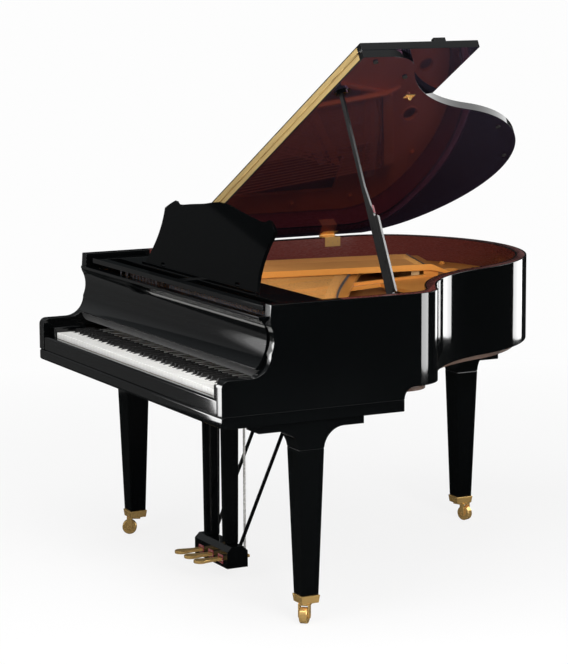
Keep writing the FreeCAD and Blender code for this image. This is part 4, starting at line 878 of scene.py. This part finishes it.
def studs_and_hitch_pins():
    """One agraffe a note where its strings begin, and a hitch pin at the far end of each string."""
    stud = peg(AGRAFFE_RADIUS, Vector((0, 0, 0)), Vector((0, 0, 1)), 8)
    smooth(stud)
    stud.data.materials.append(FINISHES["brass"])
    hitch_pin = peg(HITCH_PIN_RADIUS, Vector((0, 0, 0)), Vector((0, 0, 1)), 6)
    smooth(hitch_pin)
    hitch_pin.data.materials.append(FINISHES["dark_steel"])
    studs, pins = [], []
    for note in range(NOTE_COUNT):
        runs = strings_of(note)
        middle = (runs[0][1] + runs[-1][1]) / 2
        rise = (middle.z - PLATE_TOP + AGRAFFE_OVER) / 1000
        foot = Matrix.Translation(spot(middle.x, middle.y - AGRAFFE_BACK, PLATE_TOP))
        studs.append(copied(stud, foot @ Matrix.Diagonal((1, 1, rise, 1))))
        for _, _, hitch, _ in runs:
            foot = Matrix.Translation(spot(hitch.x, hitch.y, hitch.z - RAIL_DROP))
            tall = (RAIL_DROP + HITCH_PIN_OVER) / 1000
            pins.append(copied(hitch_pin, foot @ Matrix.Diagonal((1, 1, tall, 1))))
    body = body_of("iron_plate")
    settle(joined("agraffes", studs), body, "brass")
    settle(joined("hitch_pins", pins), body, "steel")
    for pattern in (stud, hitch_pin):
        scrap(pattern)


def hitch_strip(first, last, front, back, foot, top_drop):
    """A bar along the hitches of a run of notes, from a height up to just under their strings."""
    bpy.ops.object.select_all(action="DESELECT")
    bpy.ops.mesh.primitive_grid_add(x_subdivisions=last - first, y_subdivisions=1, size=1.0)
    strip = bpy.context.object
    for vertex in strip.data.vertices:
        note = first + round((vertex.co.x + 0.5) * (last - first))
        runs = strings_of(note)
        along = runs[0][3]
        hitch = (runs[0][2] + runs[-1][2]) / 2
        place = hitch + along * (-front if vertex.co.y < 0 else back)
        vertex.co = spot(place.x, place.y, hitch.z - top_drop)
    edit(strip)
    bpy.ops.mesh.select_all(action="SELECT")
    bpy.ops.mesh.extrude_region_move()
    high = strip.data.vertices[0].co.z
    bpy.ops.transform.translate(value=(0, 0, foot / 1000 - high))
    bpy.ops.mesh.select_all(action="SELECT")
    bpy.ops.mesh.normals_make_consistent(inside=False)
    done()
    return strip


def hitch_rails():
    """Raised rails of the plate that hold the hitch pins, with red cloth under the strings."""
    rails, cloths = [], []
    for first, last in NOTE_RUNS:
        rail = hitch_strip(first, last, RAIL_FRONT, RAIL_BACK, PLATE_TOP - RAIL_SUNK, RAIL_DROP)
        rounded(rail, RAIL_EDGE)
        rails.append(rail)
        height = strings_of(first)[0][2].z
        cloth = hitch_strip(first, last, CLOTH_FRONT, -CLOTH_BACK, height - RAIL_DROP, CLOTH_CLEAR)
        rounded(cloth, CLOTH_EDGE, 1)
        cloths.append(cloth)
    body = body_of("iron_plate")
    settle(joined("hitch_rails", rails), body, "gold_plate")
    settle(joined("hitch_cloth", cloths), body, "hammer_felt", "red_felt")


REST_ASIDE = 8
REST_FRONT = 27
REST_BACK = 14
REST_UNDER_WOUND = 2
REST_UNDER_PLAIN = 1
REST_EDGE = 0.003


def rest_felts():
    """Red felt under the strings between the pins and the agraffes."""
    strips = []
    for first, last in NOTE_RUNS:
        low = strings_of(first)[0][1]
        high = strings_of(last)[-1][1]
        under = REST_UNDER_WOUND if first == 0 else REST_UNDER_PLAIN
        strip = slab(spot(low.x - REST_ASIDE, AGRAFFE_LINE - REST_FRONT, PLATE_TOP),
                     spot(high.x + REST_ASIDE, AGRAFFE_LINE - REST_BACK, low.z - under))
        rounded(strip, REST_EDGE)
        strips.append(strip)
    settle(joined("rest_felts", strips), body_of("iron_plate"), "hammer_felt", "red_felt")


BAR_ASIDE = 10
BAR_HALF = 4
BAR_START = -14
BAR_FOOT = 14
BAR_END = 872
BAR_RUN_OUT = 70
BAR_LOW = 926
BAR_HIGH = 948
BAR_END_HEIGHT = 0.4
BAR_EDGE = 0.0020
FOOT_LAP = 0.001
FOOT_FLARE = (1.3, 1.5, 1.0)
FOOT_EDGE = 0.0015


def bass_bar():
    """The bar of the plate along the treble side of the wound strings, over the plain ones."""
    _, agraffe, _, along = strings_of(WOUND_COUNT - 1)[-1]
    half, low, high = BAR_HALF / 1000, BAR_LOW / 1000, BAR_HIGH / 1000
    start, end, plate_top = BAR_START / 1000, BAR_END / 1000, PLATE_TOP / 1000
    bar = slab(Vector((-half, start, low)), Vector((half, end, high)))
    only(bar)
    faces_where(bar, lambda middle, normal: normal.y > 0.9)
    drop = plate_top - low
    bpy.ops.mesh.extrude_region_move(TRANSFORM_OT_translate={"value": (0, BAR_RUN_OUT / 1000, drop)})
    bpy.ops.transform.resize(value=(1.0, 1.0, BAR_END_HEIGHT))
    done()
    rounded(bar, BAR_EDGE)
    foot = slab(Vector((-half, start, plate_top)), Vector((half, start + BAR_FOOT / 1000, low + FOOT_LAP)))
    only(foot)
    faces_where(foot, lambda middle, normal: normal.z < -0.9)
    bpy.ops.transform.resize(value=FOOT_FLARE)
    done()
    rounded(foot, FOOT_EDGE)
    piece = joined("bass_bar", [bar, foot])
    across = Vector((along.y, -along.x, 0))
    at = agraffe + across * BAR_ASIDE
    turn = Matrix.Rotation(math.atan2(-along.x, along.y), 4, "Z")
    piece.data.transform(Matrix.Translation(spot(at.x, at.y, 0)) @ turn)
    settle(piece, body_of("iron_plate"), "gold_plate")


ROSETTE_SHARES = ((-0.36, 0.88), (-0.14, 0.90), (0.06, 0.86), (0.22, 0.76), (0.36, 0.63), (0.56, 0.50))
BOLT_SHARES = ((-0.90, 0.30), (-0.90, 0.47), (-0.89, 0.64), (-0.86, 0.79), (-0.60, 0.92), (-0.28, 0.945),
               (-0.02, 0.925), (0.20, 0.835), (0.34, 0.70), (0.48, 0.58), (0.72, 0.46), (0.86, 0.38))
HALF_WIDTH = 715
CASE_LENGTH = 1550
RING_RADIUS = 0.0300
RING_THICK = 0.0042
RING_FLAT = 0.7
BOLT_RADIUS = 0.0085
BOLT_TOP = 0.0080
BOLT_EDGE = 0.0010
WASHER_RADIUS = 0.0120
WASHER_TOP = 0.0020
WASHER_EDGE = 0.0006
LOOK_FROM = 60
TOP_WITHIN = 0.002


def on_plate(x, y):
    """Whether the top of the iron plate lies under a place of the workshop."""
    above = spot(x, y, PLATE_TOP + LOOK_FROM)
    hit, at, normal, _ = plate.ray_cast(above, Vector((0, 0, -1)))
    return hit and abs(at.z - PLATE_TOP / 1000) < TOP_WITHIN and normal.z > 0.9


def rosette_rings():
    """Raised rings round the holes of the plate."""
    rings = []
    for x_share, y_share in ROSETTE_SHARES:
        bpy.ops.object.select_all(action="DESELECT")
        bpy.ops.mesh.primitive_torus_add(
            major_segments=40, minor_segments=10, major_radius=RING_RADIUS, minor_radius=RING_THICK,
            location=spot(x_share * HALF_WIDTH, y_share * CASE_LENGTH, PLATE_TOP))
        ring = bpy.context.object
        edit(ring)
        bpy.ops.mesh.select_all(action="SELECT")
        bpy.ops.transform.resize(value=(1.0, 1.0, RING_FLAT), center_override=ring.location)
        done()
        smooth(ring)
        rings.append(ring)
    settle(joined("rosette_rings", rings), body_of("iron_plate"), "gold_plate")


def plate_bolts():
    """Six-sided heads on washers round the edge of the plate."""
    head = peg(BOLT_RADIUS, Vector((0, 0, WASHER_TOP)), Vector((0, 0, BOLT_TOP)), 6)
    rounded(head, BOLT_EDGE, 1)
    washer = peg(WASHER_RADIUS, Vector((0, 0, 0)), Vector((0, 0, WASHER_TOP)), 20)
    rounded(washer, WASHER_EDGE, 1)
    pattern = joined("bolt_pattern", [head, washer])
    bolts = []
    for x_share, y_share in BOLT_SHARES:
        x, y = x_share * HALF_WIDTH, y_share * CASE_LENGTH
        if on_plate(x, y):
            bolts.append(copied(pattern, Matrix.Translation(spot(x, y, PLATE_TOP))))
    scrap(pattern)
    settle(joined("plate_bolts", bolts), body_of("iron_plate"), "gold_plate")


string_set()
tuning_pin_set()
damper_set()
studs_and_hitch_pins()
hitch_rails()
bass_bar()
rest_felts()
rosette_rings()
plate_bolts()

# Felt and screws
PEDAL_PITCH = 72
FELT_OUTSIDE = 17.6
FELT_INSIDE = 14.6
FELT_FOOT = 56.4
FELT_SILL = 60.2
FELT_LINTEL = 78.0
FELT_TOP = 84.6
FELT_FRONT = 298.6
FELT_BACK = 309
FELT_EDGE = 0.0010
FELT_STRIPS = (
    (-FELT_OUTSIDE, -FELT_INSIDE, FELT_FOOT, FELT_TOP), (FELT_INSIDE, FELT_OUTSIDE, FELT_FOOT, FELT_TOP),
    (-FELT_INSIDE, FELT_INSIDE, FELT_LINTEL, FELT_TOP), (-FELT_INSIDE, FELT_INSIDE, FELT_FOOT, FELT_SILL))


def pedal_felts():
    """Red cloth round each pedal in the front of its box."""
    frames = []
    for middle in (-PEDAL_PITCH, 0, PEDAL_PITCH):
        for x_low, x_high, z_low, z_high in FELT_STRIPS:
            strip = slab(spot(middle + x_low, FELT_FRONT, z_low), spot(middle + x_high, FELT_BACK, z_high))
            rounded(strip, FELT_EDGE, 1)
            frames.append(strip)
    settle(joined("pedal_felts", frames), body_of("pedal_box"), "hammer_felt", "red_felt")


PROP_FELT_LONG = 26
PROP_FELT_HALF = 7
PROP_FELT_THICK = 1.4
PROP_FELT_EDGE = 0.0006
PROP_HALF = 10


def prop_felt():
    """A patch of red felt on the long stick, above the tip of the short one."""
    fold = next(row for row in frame["record"]["behaviour"]["joints"] if row["name"] == "prop_fold")
    foot, pin = Vector(fold["pos_m"]), -Vector(fold["axis"])
    low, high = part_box("prop_cup")
    along = ((low + high) / 2 - foot).normalized()
    along = (along - pin * along.dot(pin)).normalized()
    depth = along.cross(pin)
    stand = Matrix((depth, along, pin)).transposed().to_4x4()
    tip = (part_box("short_prop")[1].z - foot.z) / along.z
    half, out = PROP_FELT_HALF / 1000, PROP_HALF / 1000
    end, face = tip + PROP_FELT_LONG / 1000, out + PROP_FELT_THICK / 1000
    patch = slab(Vector((-half, tip, out)), Vector((half, end, face)))
    rounded(patch, PROP_FELT_EDGE, 1)
    patch.data.transform(Matrix.Translation(foot) @ stand)
    patch.name = "prop_felt"
    settle(patch, "prop", "hammer_felt", "red_felt")


SCREW_RADIUS = 0.0036
SCREW_TOP = 0.0008
SCREW_EDGE = 0.0004
SLOT_FOOT = 0.0002
SLOT_TOP = 0.0009
SLOT_HALF = Vector((0.0034, 0.0005, 0.0))


def screw_pattern():
    """A low round head with a dark bar for its slot: the bar is painted shade standing in for the groove."""
    head = peg(SCREW_RADIUS, Vector((0, 0, 0)), Vector((0, 0, SCREW_TOP)), 14)
    rounded(head, SCREW_EDGE, 1)
    head.data.materials.append(FINISHES["brass"])
    # A dark steel bar across the head instead of a groove: painted shade of the slot.
    slot_shade = slab(Vector((0, 0, SLOT_FOOT)) - SLOT_HALF, Vector((0, 0, SLOT_TOP)) + SLOT_HALF)
    slot_shade.data.materials.append(FINISHES["dark_steel"])
    return joined("screw_pattern", [head, slot_shade])


LID_ANGLE = 28.8
LID_AXIS = (-718, 994)
CATCH_PLACE = (442, 867)
CATCH_PLATE = (22, 34, 2.4)
CATCH_EDGE = 0.0010
CATCH_LUG = (10, 14, 12)
LUG_TAPER = (0.7, 0.5, 1.0)
LUG_EDGE = 0.0020


def raised_lid():
    """The turn that brings a place on the closed lid to the raised one."""
    axis = spot(LID_AXIS[0], 0, LID_AXIS[1])
    return (Matrix.Translation(axis) @ Matrix.Rotation(math.radians(-LID_ANGLE), 4, "Y")
            @ Matrix.Translation(-axis))


def lid_catch():
    """Brass catch under the lid: a plate with a tapered lug."""
    x, y = CATCH_PLACE
    under = LID_AXIS[1]
    wide, long, thick = CATCH_PLATE
    base = slab(spot(x - wide / 2, y - long / 2, under - thick), spot(x + wide / 2, y + long / 2, under))
    rounded(base, CATCH_EDGE)
    across, deep, tall = CATCH_LUG
    lug = slab(spot(x - across / 2, y - deep / 2, under - thick - tall),
               spot(x + across / 2, y + deep / 2, under - thick))
    only(lug)
    faces_where(lug, lambda middle, normal: normal.z < -0.9)
    bpy.ops.transform.resize(value=LUG_TAPER)
    done()
    rounded(lug, LUG_EDGE, 3)
    catch = joined("lid_catch", [base, lug])
    catch.data.transform(raised_lid())
    settle(catch, body_of("lid"), "brass")


HINGE_LENGTH = 62
SCREW_PITCH = 20
RIM_TOP = 989
INNER_WALL = -677
HINGE_LEAF = 2
RIM_SCREW_DROP = 19
RIM_SCREW_STAGGER = 5
LID_SCREW_IN = 24
LID_SCREW_STAGGER = 6


def hinge_screws():
    """Three screws in each half of the two lid hinges."""
    pattern = screw_pattern()
    on_rim, on_lid = [], []
    sideways = Matrix.Rotation(math.radians(90), 4, "Y")
    over = Matrix.Rotation(math.radians(180), 4, "X")
    low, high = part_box("lid_hinge_plates")
    first = (low.y - KEYBED_FRONT) * 1000 + HINGE_LENGTH / 2
    last = (high.y - KEYBED_FRONT) * 1000 - HINGE_LENGTH / 2
    for place in (first, last):
        for step in (-1, 0, 1):
            y = place + step * SCREW_PITCH
            at = spot(INNER_WALL + HINGE_LEAF, y, RIM_TOP - RIM_SCREW_DROP + RIM_SCREW_STAGGER * abs(step))
            on_rim.append(copied(pattern, Matrix.Translation(at) @ sideways))
            inward = LID_SCREW_IN - LID_SCREW_STAGGER * abs(step)
            under = spot(LID_AXIS[0] + inward, y, LID_AXIS[1])
            on_lid.append(copied(pattern, raised_lid() @ Matrix.Translation(under) @ over))
    scrap(pattern)
    settle(joined("rim_hinge_screws", on_rim), body_of("lid_hinge_plates"), "brass")
    settle(joined("lid_hinge_screws", on_lid), body_of("lid_hinge_straps"), "brass")


pedal_felts()
prop_felt()
hinge_screws()
lid_catch()


# Stage, light and camera
WHITE = colour(0.982, 0.982, 0.982)
FLOOR_RADIUS = 400.0
SHADOW_FULL = 1.2
SHADOW_GONE = 4.0
SHADOW_SHARE = 0.16
FILL_STRENGTH = 0.42


def studio_floor():
    """Pale floor: white to the camera with the piano's shadow near it, dim in the lacquer."""
    bpy.ops.object.select_all(action="DESELECT")
    bpy.ops.mesh.primitive_circle_add(vertices=96, radius=FLOOR_RADIUS, fill_type="NGON", location=(0, 0, 0))
    floor = bpy.context.object
    floor.name = "studio_floor"
    f = Finish("studio_floor_paint")
    far = f.node("ShaderNodeVectorMath", {"operation": "LENGTH"}, {0: f.place}, "Value")
    near = f.part(far, SHADOW_FULL, SHADOW_GONE, SHADOW_SHARE, 0.0)
    paint = f.blend(f.noise(0.7, 2.0), colour(0.86, 0.86, 0.86), colour(0.90, 0.90, 0.90))
    f.coat(Base_Color=paint, Roughness=0.9)
    camera = f.node("ShaderNodeLightPath", output="Is Camera Ray")
    white = f.node("ShaderNodeEmission", None, {"Color": WHITE, "Strength": 1.0})
    dim = f.node("ShaderNodeBsdfDiffuse", None, {"Color": colour(0.022, 0.024, 0.024)})
    lit = Shade(f, f.shader.outputs[0])
    seen = f.node("ShaderNodeMixShader", None, {0: near, 1: white, 2: lit})
    glossy = f.node("ShaderNodeLightPath", output="Is Glossy Ray")
    other = f.node("ShaderNodeMixShader", None, {0: glossy, 1: lit, 2: dim})
    final = f.node("ShaderNodeMixShader", None, {0: camera, 1: other, 2: seen})
    f.tree.links.new(final.socket, f.tree.nodes["Material Output"].inputs["Surface"])
    floor.data.materials.append(f.material)


def studio_room():
    """White to the camera, a soft even fill, and in the gloss a dim room that brightens overhead."""
    world = bpy.data.worlds.new("studio_room")
    bpy.context.scene.world = world
    world.use_nodes = True
    tree = world.node_tree
    tree.nodes.clear()
    f = NodeSheet(tree)
    way = f.node("ShaderNodeTexCoord", output="Generated")
    height = f.node("ShaderNodeSeparateXYZ", None, {"Vector": way}, "Z")
    room = f.ramp(height, (0.0, (0.008, 0.009, 0.009)), (0.20, (0.018, 0.020, 0.021)),
                  (0.48, (0.10, 0.106, 0.11)), (0.88, (0.70, 0.71, 0.72)))
    glossy = f.node("ShaderNodeLightPath", output="Is Glossy Ray")
    camera = f.node("ShaderNodeLightPath", output="Is Camera Ray")
    fill = f.node("ShaderNodeBackground", None, {"Color": colour(1.0, 1.0, 1.0), "Strength": FILL_STRENGTH})
    sheen = f.node("ShaderNodeBackground", None, {"Color": room, "Strength": 1.0})
    white = f.node("ShaderNodeBackground", None, {"Color": WHITE, "Strength": 1.0})
    inner = f.node("ShaderNodeMixShader", None, {0: glossy, 1: fill, 2: sheen})
    outer = f.node("ShaderNodeMixShader", None, {0: camera, 1: inner, 2: white})
    out = tree.nodes.new("ShaderNodeOutputWorld")
    tree.links.new(outer.socket, out.inputs["Surface"])


# Each lamp: name, place, what it looks at, width, height, brightness, and the surfaces that see it
CASE_MIDDLE = (0.0, 0.0, 0.85)
FALLBOARD_LEFT = (0.3, -0.62, 0.85)
FALLBOARD_RIGHT = (0.5, -0.62, 0.85)
PANEL_PLACE = (-2.63, -2.0, 0.90)
LAMPS = (
    ("overhead_softbox", (0.6, -1.2, 3.6), (0.0, -0.1, 0.8), 3.0, 2.4, 3.0, "all"),
    ("front_softbox", (2.2, -4.2, 2.6), CASE_MIDDLE, 2.4, 1.8, 2.0, "matt"),
    ("front_sheen", (2.2, -4.2, 2.6), CASE_MIDDLE, 2.4, 1.8, 0.75, "gloss"),
    ("treble_fill", (4.2, -0.6, 2.1), (0.0, 0.2, 0.9), 2.0, 1.4, 16.0, "matt"),
    ("slit_fill", (1.2, -3.2, 1.25), (0.0, -0.45, 0.93), 1.6, 0.5, 5.0, "matt"),
    ("tail_strip", (-1.45, 4.70, 0.95), (0.15, 0.4, 0.85), 1.5, 1.9, 4.2, "gloss"),
    ("lid_edge_panel", (-0.6, 4.6, 2.75), (0.3, 0.3, 1.4), 4.2, 2.0, 1.9, "gloss"),
    ("bend_strip", (3.1, 3.4, 0.95), (0.7, -0.1, 0.85), 1.9, 1.9, 8.0, "gloss"),
    ("arm_strip", (-1.30, -1.865, 0.72), (0.7, -0.75, 0.7), 0.26, 1.0, 6.0, "gloss"),
    ("keyboard_panel_core", PANEL_PLACE, FALLBOARD_LEFT, 3.4, 0.7, 0.10, "gloss"),
    ("keyboard_panel_middle", PANEL_PLACE, FALLBOARD_LEFT, 3.4, 1.2, 0.09, "gloss"),
    ("keyboard_panel_edge", PANEL_PLACE, FALLBOARD_LEFT, 3.4, 1.9, 0.09, "gloss"),
    ("keyboard_glow_0", (-2.63, -2.44, 1.5), FALLBOARD_RIGHT, 0.5, 2.2, 0.16, "gloss"),
    ("keyboard_glow_1", (-2.63, -2.50, 1.5), FALLBOARD_RIGHT, 0.5, 2.2, 0.32, "gloss"),
    ("keyboard_glow_2", (-2.63, -2.56, 1.5), FALLBOARD_RIGHT, 0.5, 2.2, 0.64, "gloss"),
)


def softbox(name, place, target, width, height, brightness, seen_in):
    """A panel lamp of a given brightness, seen in all surfaces, only in gloss or only in matt ones."""
    lamp = bpy.data.lights.new(name, "AREA")
    lamp.shape = "RECTANGLE"
    lamp.size = width
    lamp.size_y = height
    lamp.energy = brightness * math.pi * width * height
    panel = bpy.data.objects.new(name, lamp)
    bpy.context.scene.collection.objects.link(panel)
    at = Vector(place)
    turn = (Vector(target) - at).to_track_quat("-Z", "Y").to_matrix().to_4x4()
    panel.matrix_world = Matrix.Translation(at) @ turn
    panel.visible_camera = False
    panel.visible_diffuse = seen_in != "gloss"
    panel.visible_glossy = seen_in != "matt"


CAMERA_PLACE = (6.954453, -3.78088, 2.00951)
CAMERA_YAW = math.radians(62.77)
CAMERA_PITCH = math.radians(-8.95)
CAMERA_ROLL = math.radians(-0.30)
CAMERA_LENS = 131.41
CAMERA_SENSOR = 36.0
CAMERA_REACH = 2000.0


def photo_camera():
    """The camera of the photograph, as solved from its straight edges."""
    level = math.cos(CAMERA_PITCH)
    way = Vector((-math.sin(CAMERA_YAW) * level, math.cos(CAMERA_YAW) * level, math.sin(CAMERA_PITCH)))
    side = Vector((math.cos(CAMERA_YAW), math.sin(CAMERA_YAW), 0.0))
    up = side.cross(way)
    right = side * math.cos(CAMERA_ROLL) + up * math.sin(CAMERA_ROLL)
    top = up * math.cos(CAMERA_ROLL) - side * math.sin(CAMERA_ROLL)
    lens = bpy.data.cameras.new("photo_camera")
    lens.sensor_width = CAMERA_SENSOR
    lens.sensor_fit = "AUTO"
    lens.lens = CAMERA_LENS
    lens.clip_end = CAMERA_REACH
    camera = bpy.data.objects.new("photo_camera", lens)
    bpy.context.scene.collection.objects.link(camera)
    turn = Matrix((right, top, -way)).transposed().to_4x4()
    camera.matrix_world = Matrix.Translation(Vector(CAMERA_PLACE)) @ turn
    bpy.context.scene.camera = camera


studio_floor()
studio_room()
for row in LAMPS:
    softbox(*row)
photo_camera()
bpy.context.scene.view_settings.view_transform = "Standard"

bpy.context.view_layer.update()
